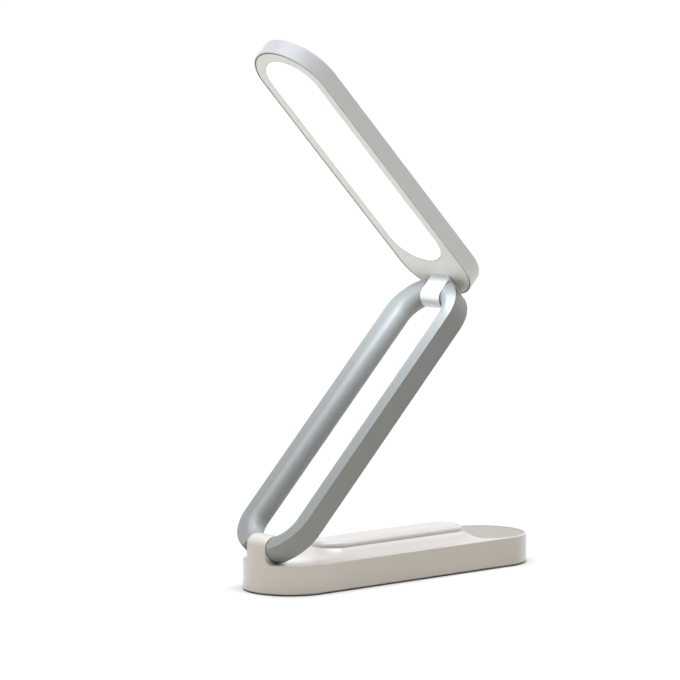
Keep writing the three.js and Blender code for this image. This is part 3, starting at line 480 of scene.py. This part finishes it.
def material(name, colour, roughness, metallic=0.0, grain=900.0, bump=0.15, depth=0.00002,
             mottle=0.015, spread=0.08, coat=0.0, coat_rough=0.12, stretch=None, emission=0.0):
    """A moulded or metal surface: slight mottling, painted shade in creases and seams, uneven gloss
    and a fine grain.
    """
    mat = bpy.data.materials.new(name)
    mat.use_nodes = True
    tree = mat.node_tree
    links = tree.links
    shader = tree.nodes["Principled BSDF"]
    shader.inputs["Metallic"].default_value = metallic
    shader.inputs["Coat Weight"].default_value = coat
    shader.inputs["Coat Roughness"].default_value = coat_rough
    if emission:
        shader.inputs["Emission Color"].default_value = srgb(OPAL_LIGHT)
        shader.inputs["Emission Strength"].default_value = emission

    place = add_node(tree, "ShaderNodeTexCoord")
    source = place.outputs["Object"]
    if stretch:
        scale = add_node(tree, "ShaderNodeMapping", Scale=stretch)
        links.new(source, scale.inputs["Vector"])
        source = scale.outputs["Vector"]
    broad = add_node(tree, "ShaderNodeTexNoise", Scale=MOTTLE_SCALE, Detail=3.0)
    links.new(source, broad.inputs["Vector"])
    fine = add_node(tree, "ShaderNodeTexNoise", Scale=grain, Detail=4.0, Roughness=0.6)
    links.new(source, fine.inputs["Vector"])

    base = srgb(colour)
    ramp = add_node(tree, "ShaderNodeValToRGB")
    darker, lighter = ramp.color_ramp.elements
    darker.position = 0.3
    darker.color = (*[c * (1 - mottle) for c in base[:3]], 1)
    lighter.position = 0.7
    lighter.color = (*[min(1, c * (1 + mottle)) for c in base[:3]], 1)
    links.new(broad.outputs["Fac"], ramp.inputs["Fac"])

    # Painted shade: an ambient occlusion node darkens the colour in creases, grooves and seams,
    # where shade falls.
    painted_crease_shade = add_node(tree, "ShaderNodeAmbientOcclusion", Distance=PAINTED_SHADE_REACH)
    painted_crease_shade.samples = PAINTED_SHADE_SAMPLES
    painted_shade_level = add_node(tree, "ShaderNodeMapRange", From_Min=0.25, From_Max=0.9, To_Min=0.3)
    links.new(painted_crease_shade.outputs["AO"], painted_shade_level.inputs["Value"])
    shade = add_node(tree, "ShaderNodeMixRGB", Fac=1.0)
    shade.blend_type = "MULTIPLY"
    links.new(ramp.outputs["Color"], shade.inputs["Color1"])
    links.new(painted_shade_level.outputs["Result"], shade.inputs["Color2"])
    links.new(shade.outputs["Color"], shader.inputs["Base Color"])

    smoothest = max(0.02, roughness - spread)
    roughest = min(1.0, roughness + spread)
    gloss = add_node(tree, "ShaderNodeMapRange", To_Min=smoothest, To_Max=roughest)
    links.new(fine.outputs["Fac"], gloss.inputs["Value"])
    links.new(gloss.outputs["Result"], shader.inputs["Roughness"])
    relief = add_node(tree, "ShaderNodeBump", Strength=bump, Distance=depth)
    links.new(fine.outputs["Fac"], relief.inputs["Height"])
    links.new(relief.outputs["Normal"], shader.inputs["Normal"])
    return mat


BASE_PLASTIC = material(
    "base_plastic", "dbd5cf", 0.36, grain=1400, bump=0.2, coat=0.7, coat_rough=0.2)
TOUCH_PLASTIC = material("touch_plastic", "b0a9a3", 0.42, grain=2200, bump=0.12)
ARM_PLASTIC = material(
    "arm_plastic", "919393", 0.48, grain=1400, bump=0.2, coat=0.25, coat_rough=0.15)
HEAD_PLASTIC = material("head_plastic", "e5e8ed", 0.38, grain=1400, bump=0.2)
BEZEL_PLASTIC = material("bezel_plastic", "eff1f4", 0.4, grain=1400, bump=0.2)
OPAL = material("opal_plastic", "ffffff", 0.5, grain=2600, bump=0.1, mottle=0.0, emission=0.6)
REFLECTOR = material("reflector_plastic", "f4f4f2", 0.55, bump=0.1)
RUBBER = material(
    "foot_rubber", "2c2c2c", 0.85, grain=2600, bump=0.5, depth=0.00006, mottle=0.12)
STEEL = material("plated_steel", "b4b7ba", 0.32, 0.95, grain=3000, bump=0.08)
PIN_STEEL = material("ground_steel", "b9bcbf", 0.25, 1.0, grain=2500, stretch=(1, 6, 1))
BALLAST = material("rolled_steel", "8f9296", 0.45, 0.9, grain=700, mottle=0.12)
BRASS = material("brass", "b89a5a", 0.35, 1.0, grain=1800, mottle=0.08)
BOARD = material("solder_mask", "1f5c3a", 0.4, grain=500, mottle=0.15, coat=0.3)
LIGHT_BOARD = material("white_board", "f0f0ee", 0.4)
CELL = material("shrink_wrap", "3f78a8", 0.35, grain=500, mottle=0.05, coat=0.2)
FOAM = material(
    "conductive_foam", "4a4a4c", 0.95, grain=1800, bump=0.7, depth=0.0002, mottle=0.25)
JACKET = material("wire_jacket", "1d1d1f", 0.5, grain=1500, mottle=0.1)

# The CAD nodes' materials by slot, which the nodes that no piece replaces show
SLOT_MATERIAL = {
    "base_shell": BASE_PLASTIC,
    "touch_panel": TOUCH_PLASTIC,
    "arm_shell": ARM_PLASTIC,
    "head_shell": HEAD_PLASTIC,
    "head_bezel": BEZEL_PLASTIC,
    "diffuser": OPAL,
    "reflector": REFLECTOR,
    "light_board": LIGHT_BOARD,
    "foot_rubber": RUBBER,
    "screw_steel": STEEL,
    "pin_steel": PIN_STEEL,
    "sleeve_brass": BRASS,
    "ballast_steel": BALLAST,
    "circuit_board": BOARD,
    "contact_foam": FOAM,
    "battery": CELL,
    "wire_jacket": JACKET,
}
node_slot = {row["node"]: row["material_slot"] for row in frame["record"]["subparts"]}
for name, node in frame["nodes"].items():
    node.data.materials.clear()
    node.data.materials.append(SLOT_MATERIAL[node_slot[name]])


# ---- base housing

def mound_rings(inset, drop, steps=14):
    """The rings of the slope up to the island and of the island's round edge."""
    island_r = ISLAND_R - inset
    skirt = R - MOUND_MARGIN - ISLAND_R + island_r
    rise = MOUND_TOP - BASE_H
    rings = []
    for i in range(steps + 1):
        t = i / steps
        radius = skirt + (island_r - skirt) * t
        rings.append(outline(radius, BASE_H - drop + rise * t * t, -ISLAND_MID, ISLAND_MID))
    top = ISLAND_TOP - drop
    for r, z in arc(island_r - ISLAND_ROUND, top - ISLAND_ROUND, ISLAND_ROUND, 0, 90, 12):
        rings.append(outline(r, z, -ISLAND_MID, ISLAND_MID))
    return rings


def base_shell():
    """The housing's wall and top, open underneath: an outer and an inner stack of rings."""
    mouth = R - BASE_WALL
    low = FOOT_PROUD + BOTTOM_ROUND
    outer = [outline(mouth, FOOT_PROUD)]
    outer += [outline(r, z) for r, z in arc(R - BOTTOM_ROUND, low, BOTTOM_ROUND, -90, 0, 6)]
    outer += [outline(r, z) for r, z in arc(R - RIM_ROUND, BASE_H - RIM_ROUND, RIM_ROUND, 0, 90, 6)]
    outer += mound_rings(0, 0)
    inner = [outline(mouth, BASE_CEILING)] + mound_rings(BASE_TOP, BASE_TOP)
    n = len(outer[0])
    verts = [v for ring in outer + inner for v in ring]
    faces = []

    def band(a, b, turn):
        for i in range(n):
            j = (i + 1) % n
            quad = (a + i, a + j, b + j, b + i)
            faces.append(tuple(reversed(quad)) if turn else quad)

    for k in range(len(outer) - 1):
        band(k * n, (k + 1) * n, False)
    first = len(outer) * n
    for k in range(len(inner) - 1):
        band(first + k * n, first + (k + 1) * n, True)
    band(0, first, True)
    faces.append(tuple(range((len(outer) - 1) * n, len(outer) * n)))
    last = first + (len(inner) - 1) * n
    faces.append(tuple(reversed(range(last, last + n))))
    return mesh_from(verts, faces)


def post(dome_steps=24):
    """The hinge post with its round crown, the fillets at its foot and its domed end."""
    left = -LENGTH / 2 - 1
    crown = HINGE_Z + POST_R
    back = HINGE_X + POST_R
    foot = BASE_H + POST_FILLET
    shape = [(left, POST_ROOT), (left, crown), *arc(HINGE_X, HINGE_Z, POST_R, 90, 0, 20)]
    shape += arc(back + POST_FILLET, foot, POST_FILLET, 180, 270, 12)
    shape += [(back + POST_FILLET, POST_ROOT)]
    upright = slab(list(reversed(shape)), HALF_KNUCKLE, POST_EDGE)
    out = HALF_KNUCKLE + POST_FILLET
    side = arc(-out, foot, POST_FILLET, -90, -4, 12) + arc(out, foot, POST_FILLET, 184, 270, 12)
    side += [(out, POST_ROOT), (-out, POST_ROOT)]
    feet = skin([[(x, y, z) for y, z in side] for x in (left, back)])
    dome = [(R, DOME_ROOT)]
    for i in range(dome_steps + 1):
        t = math.pi / 2 * i / dome_steps
        dome.append((R - DOME_REACH * (1 - math.cos(t)), HINGE_Z + POST_R * math.sin(t)))
    return common(join(upright, feet), capsule(dome))


def panel_recess(steps=4):
    """The touch panel's round recess, with its rim slightly broken at the surface."""
    profile = [(TOUCH_R, PANEL_FLOOR)]
    for i in range(steps + 1):
        t = math.pi / 2 * i / steps
        out = PANEL_LIP * (1 - math.cos(t))
        profile.append((TOUCH_R + out, BASE_H - PANEL_LIP + PANEL_LIP * math.sin(t)))
    profile.append((TOUCH_R + PANEL_LIP, ACROSS))
    return lathe(profile, (STRAIGHT, 0, 0), steps=LARGE_STEPS)


def island(radius):
    """The upright prism of the island, or of the room around it."""
    return capsule([(radius, INSIDE_BASE), (radius, FAR)], -ISLAND_MID, ISLAND_MID)


def flat_tube(start, end, width, height, z, steps=14):
    """A round-sided bar along X, as the charging socket is."""
    reach = (width - height) / 2
    points = []
    for centre, base in ((reach, -90), (-reach, 90)):
        for i in range(steps + 1):
            a = math.radians(base + 180 * i / steps)
            points.append((centre + height / 2 * math.cos(a), z + height / 2 * math.sin(a)))
    return skin([[(x, y, h) for y, h in points] for x in (start, end)])


def thin_rod(radius, low, high, x, y):
    return rod(radius, low, high, (x, y, 0), steps=THIN_STEPS)


form = base_shell()
under_panel = common(
    rod(TOUCH_R + BASE_TOP, BASE_CEILING, BASE_CEILING + PANEL_BACKING, (STRAIGHT, 0, 0)),
    capsule([(R - 1, INSIDE_BASE), (R - 1, DEEP)]),
)
form = join(form, under_panel)
bosses = [thin_rod(BOSS_R, COVER_TOP + GAP, COVER_BOSS_TOP, x, y) for x, y in COVER_SCREWS]
bosses += [thin_rod(BOSS_R, BOARD_BOSS_LOW, BOARD_BOSS_TOP, x, y) for x, y in BOARD_SCREWS]
form = join(form, *bosses)
form = join(form, post())
socket_start = MOUTH - SOCKET_DEPTH
socket_end = MOUTH + OVERRUN
pocket_width = SOCKET_WIDTH + GAP * 2
pocket_height = SOCKET_HEIGHT + GAP * 2
mouth_width = SOCKET_WIDTH + MOUTH_MARGIN
mouth_height = SOCKET_HEIGHT + MOUTH_MARGIN
form = cut(
    form,
    cut(panel_recess(), island(ISLAND_R)),
    rod(CONTACT_HOLE_R, INSIDE_BASE, DEEP, (STRAIGHT, 0, 0)),
    rod(PIN_HOLE_R, -ACROSS, ACROSS, (HINGE_X, 0, HINGE_Z), "Y"),
    rod(WIRE_HOLE_R, INSIDE_BASE, HINGE_Z, (HINGE_X, 0, 0)),
    flat_tube(socket_start, socket_end, pocket_width, pocket_height, SOCKET_Z),
    flat_tube(LENGTH / 2 - MOUTH_DEPTH, socket_end, mouth_width, mouth_height, SOCKET_Z),
    *[thin_rod(PILOT_R, 0, COVER_PILOT_TOP, x, y) for x, y in COVER_SCREWS],
    *[thin_rod(PILOT_R, BOARD_PILOT_LOW, BOARD_PILOT_TOP, x, y) for x, y in BOARD_SCREWS],
)
piece("base_housing_skin", form, "base", BASE_PLASTIC, ["base_housing"])

# ---- base cover, feet and touch pad

cover_r = R - BASE_WALL - GAP
plate = capsule(
    [
        (cover_r - COVER_ROUND - 0.1, FOOT_PROUD),
        *arc(cover_r - COVER_ROUND, FOOT_PROUD + COVER_ROUND, COVER_ROUND, -90, 0, 3),
        (cover_r, COVER_TOP),
    ]
)
for x in (-RIB_X, RIB_X):
    rib = block(x - RIB_HALF, x + RIB_HALF, -CELL_R, CELL_R, RIB_LOW, RIB_TOP)
    plate = join(plate, cut(rib, rod(CELL_R + GAP, -FAR, FAR, (0, 0, CELL_Z), "X")))
for x, y in FEET:
    plate = cut(plate, rod(FOOT_R + GAP, -1, FOOT_TOP + GAP, (x, y, 0)))
head_hole_top = COVER_TOP - SCREW_HEAD + SNUG
for x, y in COVER_SCREWS:
    head_hole = rod(HEAD_HOLE_R, -1, head_hole_top, (x, y, 0), steps=WELL_STEPS)
    plate = cut(plate, thin_rod(PILOT_R, -1, COVER_HOLE_TOP, x, y), head_hole)
piece("base_cover_skin", plate, "base", BASE_PLASTIC, ["base_cover"])

foot_profile = [
    (1.6, 0.1),
    (1.8, 0.0),
    (4.4, 0.0),
    *arc(FOOT_R - FOOT_ROUND, FOOT_ROUND, FOOT_ROUND, -90, 0, 4),
    (FOOT_R, FOOT_TOP),
]
for i, (x, y) in enumerate(FEET):
    foot = lathe(foot_profile, (x, y, 0))
    piece(f"foot_skin_{i + 1}", foot, "base", RUBBER, [f"foot_{i + 1}"])

pad_r = TOUCH_R - SNUG
pad_profile = [
    (pad_r - PAD_CHAMFER, PAD_LOW),
    (pad_r, PAD_LOW + PAD_CHAMFER),
    *arc(pad_r - PAD_ROUND, PAD_TOP - PAD_ROUND, PAD_ROUND, 0, 90, 5),
]
pad = lathe(pad_profile, (STRAIGHT, 0, 0), steps=PAD_STEPS)
pad = cut(pad, island(ISLAND_R + SNUG))
piece("touch_pad_skin", pad, "base", TOUCH_PLASTIC, ["touch_pad"])


# ---- screws

def screw(length):
    """A pan head with a cross recess below z = 0, and a threaded shank above."""
    profile = [
        (0.9, -SCREW_HEAD),
        (1.3, -SCREW_HEAD + 0.12),
        (1.55, -SCREW_HEAD + 0.4),
        (SCREW_HEAD_R, -0.1),
        (SCREW_HEAD_R, 0),
        (SHANK_R, 0),
    ]
    z = 0.35
    while z < length - 0.8:
        profile += [(SHANK_R, z), (SHANK_R - THREAD_DEPTH, z + 0.18), (SHANK_R, z + 0.36)]
        z += THREAD_PITCH
    profile += [(SHANK_R, length - 0.5), (0.2, length)]
    body = lathe(profile, steps=SCREW_STEPS)
    top = CROSS_DEPTH - SCREW_HEAD
    along = block(-CROSS_REACH, CROSS_REACH, -CROSS_HALF, CROSS_HALF, -2, top)
    across = block(-CROSS_HALF, CROSS_HALF, -CROSS_REACH, CROSS_REACH, -2, top)
    return cut(body, join(along, across))


def put_screw(kind, number, mesh, place, body, node, turn, flip=False):
    """Screw number 1 to 4 of a kind, turned about its axis by an angle in degrees."""
    matrix = Matrix.Translation(place) @ Matrix.Rotation(math.radians(turn), 4, "Z")
    if flip:
        matrix = matrix @ Matrix.Rotation(math.pi, 4, "X")
    mesh = mesh.copy()
    mesh.transform(matrix)
    piece(f"{kind}_skin_{number}", mesh, body, STEEL, [f"{node}_{number}"])


long_screw = screw(SHANK_LENGTH)
led_screw = screw(LED_SHANK_LENGTH)
for i in range(4):
    place = (*COVER_SCREWS[i], COVER_TOP - SCREW_HEAD)
    put_screw("cover_screw", i + 1, long_screw, place, "base", "cover_screw", 17 + 31 * i)
    place = (*BOARD_SCREWS[i], BOARD_UNDER)
    put_screw("board_screw", i + 1, long_screw, place, "base", "board_screw", 40 * i)
    place = (*ARM_SCREWS[i], WELL - SNUG)
    put_screw("arm_screw", i + 1, long_screw, place, "arm", "arm_screw", 11 + 27 * i)
    place = (*LED_SCREWS[i], LED_TOP + SNUG)
    put_screw("led_screw", i + 1, led_screw, place, "head", "led_board_screw", 33 * i, flip=True)

# ---- charging socket

inner_width = SOCKET_WIDTH - SOCKET_WALL * 2
inner_height = SOCKET_HEIGHT - SOCKET_WALL * 2
shell = cut(
    flat_tube(socket_start, MOUTH, SOCKET_WIDTH, SOCKET_HEIGHT, SOCKET_Z),
    flat_tube(socket_start + SOCKET_WALL, socket_end, inner_width, inner_height, SOCKET_Z),
)
tongue = block(
    socket_start + SOCKET_WALL / 2, MOUTH - SOCKET_TONGUE,
    -TONGUE_HALF_WIDTH, TONGUE_HALF_WIDTH,
    SOCKET_Z - SOCKET_TONGUE / 2, SOCKET_Z + SOCKET_TONGUE / 2,
)
piece("usb_socket_skin", join(shell, tongue), "base", STEEL, ["usb_socket"])


# ---- arm

def arm_form():
    """The solid of both bars with their ears, before the channel and the holes."""
    inner = ISLAND_R + ISLAND_CLEARANCE
    section = [
        *arc(R - ARM_EDGE, ARM_EDGE - HALF_ARM, ARM_EDGE, -90, 0, 4),
        *arc(R - ARM_EDGE, HALF_ARM - ARM_EDGE, ARM_EDGE, 0, 90, 4),
        *arc(inner + HALF_ARM, 0, HALF_ARM, 90, 270, 36),
    ]
    body = capsule(section, RING_START, RING_END, closed=True)
    half = arc(INSET - EAR_ROUND, NOTCH + EAR_ROUND, EAR_ROUND, -90, 0, 10)
    ear = [(INSET, -ACROSS), *[(r, -h) for r, h in reversed(half)], *half, (INSET, ACROSS)]
    for x, side in ((0, -1), (SPAN, 1)):
        far = x + side * (INSET + OVERRUN)
        outside = block(min(x, far), max(x, far), -AROUND, AROUND, -DEEP, DEEP)
        envelope = lathe(ear, (x, 0, 0), "Y", LARGE_STEPS)
        notch = block(x - R, x + R, -NOTCH, NOTCH, -DEEP, DEEP)
        body = cut(body, notch, cut(outside, envelope))
    return body


def ring_solid(inset, high):
    """The loop in plan, drawn in by an inset on both sides, from below it up to a level."""
    inner = R - LANE + inset
    low = -ARM_THICKNESS
    profile = [(R - inset, low), (R - inset, high), (inner, high), (inner, low)]
    return capsule(profile, RING_START, RING_END, closed=True)


def ear_slots(inset):
    """The slots that let the hinge sleeves into the ears, or the cover's tongues in them."""
    half = SLEEVE_HOLE_R - inset
    near = NOTCH + inset - (GAP - inset)
    far = EAR_END - inset
    out = []
    for x in (0, SPAN):
        out.append(block(x - half, x + half, near, far, -ARM_THICKNESS, 0))
        out.append(block(x - half, x + half, -far, -near, -ARM_THICKNESS, 0))
    return out


arm_outer = arm_form()
no_channel = [
    block(x - INSET, x + INSET, -CHANNEL_END, CHANNEL_END, -DEEP, DEEP) for x in (0, SPAN)
]
channel = cut(ring_solid(ARM_WALL, HALF_ARM - ARM_CEILING), *no_channel)
seat = ring_solid(COVER_SEAT, COVER_FLOOR + GAP)
sleeve_holes = [rod(SLEEVE_HOLE_R, -EAR_END, EAR_END, (x, 0, 0), "Y") for x in (0, SPAN)]
wire_holes = [
    rod(ARM_WIRE_R, 0, CHANNEL_END + 1.5, (x, 0, 0), "Y", THIN_STEPS) for x in (0, SPAN)
]
arm_frame = cut(arm_outer, channel, seat, *ear_slots(0), *sleeve_holes, *wire_holes)
for x, y in ARM_SCREWS:
    boss = block(
        x - ARM_BOSS_HALF_LENGTH, x + ARM_BOSS_HALF_LENGTH,
        y - ARM_BOSS_HALF_WIDTH, y + ARM_BOSS_HALF_WIDTH,
        CUP_FLOOR + GAP, ARM_BOSS_TOP,
    )
    arm_frame = join(arm_frame, boss)
    arm_frame = cut(arm_frame, thin_rod(PILOT_R, CUP_FLOOR, ARM_PILOT_TOP, x, y))

plan = ring_solid(COVER_SEAT + GAP, COVER_FLOOR)
reach = INSET + OVERRUN
for x in (0, SPAN):
    plan = cut(plan, block(x - reach, x + reach, -NOTCH - GAP, NOTCH + GAP, -DEEP, DEEP))
arm_cover = common(arm_outer, join(plan, *ear_slots(GAP)))
for x, y in ARM_SCREWS:
    cup = rod(CUP_R, COVER_FLOOR - CUP_SUNK, CUP_FLOOR, (x, y, 0), steps=WELL_STEPS)
    arm_cover = join(arm_cover, cup)
    hole = thin_rod(PILOT_R, -ARM_THICKNESS, CUP_FLOOR + OVERRUN, x, y)
    well = rod(WELL_R, -ARM_THICKNESS, WELL, (x, y, 0), steps=WELL_STEPS)
    arm_cover = cut(arm_cover, hole, well)
arm_cover = cut(arm_cover, *sleeve_holes)

for end, low, high in (("front", -AROUND, 0), ("back", 0, AROUND)):
    half = block(-AROUND, PAST_ARM, low, high, -ACROSS, ACROSS)
    bar = common(arm_frame, half)
    piece(f"arm_frame_skin_{end}", bar, "arm", ARM_PLASTIC, [f"arm_frame_{end}"])
    lid = common(arm_cover, half)
    piece(f"arm_cover_skin_{end}", lid, "arm", ARM_PLASTIC, [f"arm_cover_{end}"])

# ---- head shell

shell = capsule(
    [
        *arc(R - BACK_ROUND, BACK_LEVEL + BACK_ROUND, BACK_ROUND, -90, 0, 8),
        *arc(R - LIP_ROUND, LIT - LIP_ROUND, LIP_ROUND, 0, 90, 4),
        (R - LIP_WIDTH, LIT),
        (R - LIP_WIDTH, LIT - GROOVE_DEPTH),
        (R - HEAD_WALL, LIT - GROOVE_DEPTH),
        (R - HEAD_WALL, FLOOR_LEVEL),
    ],
    RING_START,
    HEAD_END,
)
sunk = FLOOR_LEVEL - HEAD_BACK / 2
for x, y in LED_SCREWS:
    shell = join(shell, thin_rod(BOSS_R, sunk, FLOOR_LEVEL + LED_STANDOFF, x, y))
for x, y in LED_SCREWS:
    shell = cut(shell, thin_rod(PILOT_R, sunk, LED_TOP, x, y))
piece("head_shell_skin", shell, "head", HEAD_PLASTIC, ["head_shell"])

# ---- head bezel, with the hinge knuckle on it

skirt_in = BEZEL_EDGE - SKIRT_WALL
plate = capsule(
    [
        (skirt_in, BEZEL_UNDER - SKIRT_DEPTH),
        (BEZEL_EDGE, BEZEL_UNDER - SKIRT_DEPTH),
        (BEZEL_EDGE, LIT - BEZEL_FLANGE),
        (BEZEL_FACE, LIT - BEZEL_FLANGE),
        (BEZEL_FACE, LIT - BEZEL_CHAMFER),
        (BEZEL_FACE - BEZEL_CHAMFER, LIT),
    ],
    RING_START,
    HEAD_END,
)
pocket = capsule([(skirt_in, BEZEL_UNDER - 5), (skirt_in, BEZEL_UNDER)], RING_START, HEAD_END)
root = KNUCKLE_R + KNUCKLE_ROOT
knuckle_shape = [
    (-KNUCKLE_R, BEZEL_UNDER),
    *arc(0, 0, KNUCKLE_R, 180, 0, 32),
    *arc(root, LIT + KNUCKLE_ROOT, KNUCKLE_ROOT, 180, 270, 10),
    (root, BEZEL_UNDER),
]
knuckle = common(
    slab(list(reversed(knuckle_shape)), HALF_KNUCKLE, KNUCKLE_EDGE),
    capsule([(BEZEL_EDGE, BEZEL_UNDER), (BEZEL_EDGE, DEEP)], RING_START, HEAD_END),
)
window = capsule(
    [
        (WINDOW_R, -FAR),
        (WINDOW_R, LIT - GAP),
        (WINDOW_R + GAP, LIT),
        (WINDOW_R + GAP, LIT + OVERRUN),
    ],
    WINDOW_START,
    WINDOW_END,
)
plate = cut(
    join(cut(plate, pocket), knuckle),
    window,
    rod(PIN_HOLE_R, -ACROSS, ACROSS, (0, 0, 0), "Y"),
    rod(WIRE_HOLE_R, BEZEL_UNDER - OVERRUN, 0, (0, 0, 0), steps=WELL_STEPS),
)
piece("head_bezel_skin", plate, "head", BEZEL_PLASTIC, ["head_bezel"])

# ---- diffuser

flange_r = WINDOW_R + DIFFUSER_FLANGE
lens_r = WINDOW_R - GAP
lens_edge = arc(lens_r - DIFFUSER_ROUND, LIT - DIFFUSER_ROUND, DIFFUSER_ROUND, 0, 90, 4)
opal = capsule(
    [
        (flange_r, BEZEL_UNDER - DIFFUSER_FLANGE_UNDER),
        (flange_r, BEZEL_UNDER - GAP),
        (lens_r, BEZEL_UNDER - GAP),
        *lens_edge,
    ],
    WINDOW_START,
    WINDOW_END,
)
diffuser = piece("diffuser_skin", opal, "head", OPAL, ["diffuser"])

# The light that the lit face gives: an area lamp just in front of it, which the diffuser carries.
# Its length and width are in metres.
GLOW_LENGTH = 0.156
GLOW_WIDTH = 0.036
GLOW_STRENGTH = 14.0
GLOW_COLOUR = (0.86, 0.93, 1.0)
GLOW_AHEAD = 0.4
glow = bpy.data.lights.new("lit_face", "AREA")
glow.shape = "RECTANGLE"
glow.size = GLOW_LENGTH
glow.size_y = GLOW_WIDTH
glow.energy = GLOW_STRENGTH * math.pi * GLOW_LENGTH * GLOW_WIDTH
glow.color = GLOW_COLOUR
lamp = bpy.data.objects.new("lit_face", glow)
bpy.context.scene.collection.objects.link(lamp)
lamp.visible_camera = False
lamp.parent = diffuser
bpy.context.view_layer.update()
face_middle = HEAD @ Matrix.Translation((WINDOW_MID, 0, LIT + GLOW_AHEAD))
place, turn, _ = face_middle.decompose()
facing = turn.to_matrix().to_4x4() @ Matrix.Rotation(math.pi, 4, "X")
lamp.matrix_world = Matrix.Translation(place * 0.001) @ facing


# ---- floor and world: white where they show as the background, plain where they light the part

FLOOR_HALF = 6000.0
FLOOR_COLOUR = (0.81, 0.75, 0.655, 1)
WHITE = (1, 1, 1, 1)
AMBIENT = 0.02


def background_ray(tree):
    """1 for a ray that shows the background: from the camera, a glossy surface or glass."""
    path = tree.nodes.new("ShaderNodeLightPath")
    ray = path.outputs["Is Camera Ray"]
    for name in ("Is Glossy Ray", "Is Transmission Ray"):
        either = tree.nodes.new("ShaderNodeMath")
        either.operation = "MAXIMUM"
        tree.links.new(ray, either.inputs[0])
        tree.links.new(path.outputs[name], either.inputs[1])
        ray = either.outputs[0]
    return ray


corners = [(sx * FLOOR_HALF, sy * FLOOR_HALF, 0) for sx, sy in CORNERS]
floor_mesh = mesh_from(corners, [(0, 1, 2, 3)])
floor_mesh.transform(MM)
floor = bpy.data.objects.new("floor", floor_mesh)
bpy.context.scene.collection.objects.link(floor)
floor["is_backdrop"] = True
paint = bpy.data.materials.new("floor_paint")
paint.use_nodes = True
tree = paint.node_tree
shader = tree.nodes["Principled BSDF"]
shader.inputs["Roughness"].default_value = 0.9
shader.inputs["Specular IOR Level"].default_value = 0.0
tone = add_node(tree, "ShaderNodeMixRGB", Color1=FLOOR_COLOUR, Color2=WHITE)
tree.links.new(background_ray(tree), tone.inputs["Fac"])
tree.links.new(tone.outputs["Color"], shader.inputs["Base Color"])
floor_mesh.materials.append(paint)

world = bpy.data.worlds.new("studio")
bpy.context.scene.world = world
world.use_nodes = True
tree = world.node_tree
sky = tree.nodes["Background"]
sky.inputs["Color"].default_value = WHITE
level = add_node(tree, "ShaderNodeMapRange", To_Min=AMBIENT, To_Max=1.0)
tree.links.new(background_ray(tree), level.inputs["Value"])
tree.links.new(level.outputs["Result"], sky.inputs["Strength"])

# ---- lamps

SUN_COLOUR = (0.965, 0.985, 1.0)


def soft_sun(name, toward, strength, angle):
    """A very soft distant lamp. toward is the direction that it shines from."""
    data = bpy.data.lights.new(name, "SUN")
    data.energy = strength * math.pi
    data.color = SUN_COLOUR
    data.angle = math.radians(angle)
    obj = bpy.data.objects.new(name, data)
    obj.rotation_euler = Vector(toward).to_track_quat("Z", "Y").to_euler()
    bpy.context.scene.collection.objects.link(obj)


soft_sun("top", (-0.1, 0, 1), 0.92, 60)
soft_sun("right", (0.8, -0.1, 0.6), 0.2, 40)
soft_sun("left", (-0.6, 0.3, 0.7), 0.06, 40)

# ---- camera, fitted to the photograph: its place in metres, its turns in radians, and its focal
# length and the photograph's width in pixels

EYE = (-1.76748643, -1.88152836, 0.42953219)
YAW = 0.74359824
PITCH = -0.11443248
ROLL = 0.00567156
FOCAL = 4637.34918
PHOTO_WIDTH = 680
SENSOR = 36.0

camera = bpy.data.cameras.new("camera")
camera.sensor_width = SENSOR
camera.lens = FOCAL / PHOTO_WIDTH * SENSOR
camera.clip_start = 0.1
camera.clip_end = 20
eye = bpy.data.objects.new("camera", camera)
bpy.context.scene.collection.objects.link(eye)
ahead = Vector((math.sin(YAW) * math.cos(PITCH), math.cos(YAW) * math.cos(PITCH), math.sin(PITCH)))
right = Vector((math.cos(YAW), -math.sin(YAW), 0))
up = right.cross(ahead)
side = right * math.cos(ROLL) + up * math.sin(ROLL)
top = up * math.cos(ROLL) - right * math.sin(ROLL)
turn = Matrix((side, top, -ahead)).transposed()
eye.matrix_world = Matrix.Translation(EYE) @ turn.to_4x4()
bpy.context.scene.camera = eye
bpy.context.scene.view_settings.view_transform = "Standard"

low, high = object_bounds()
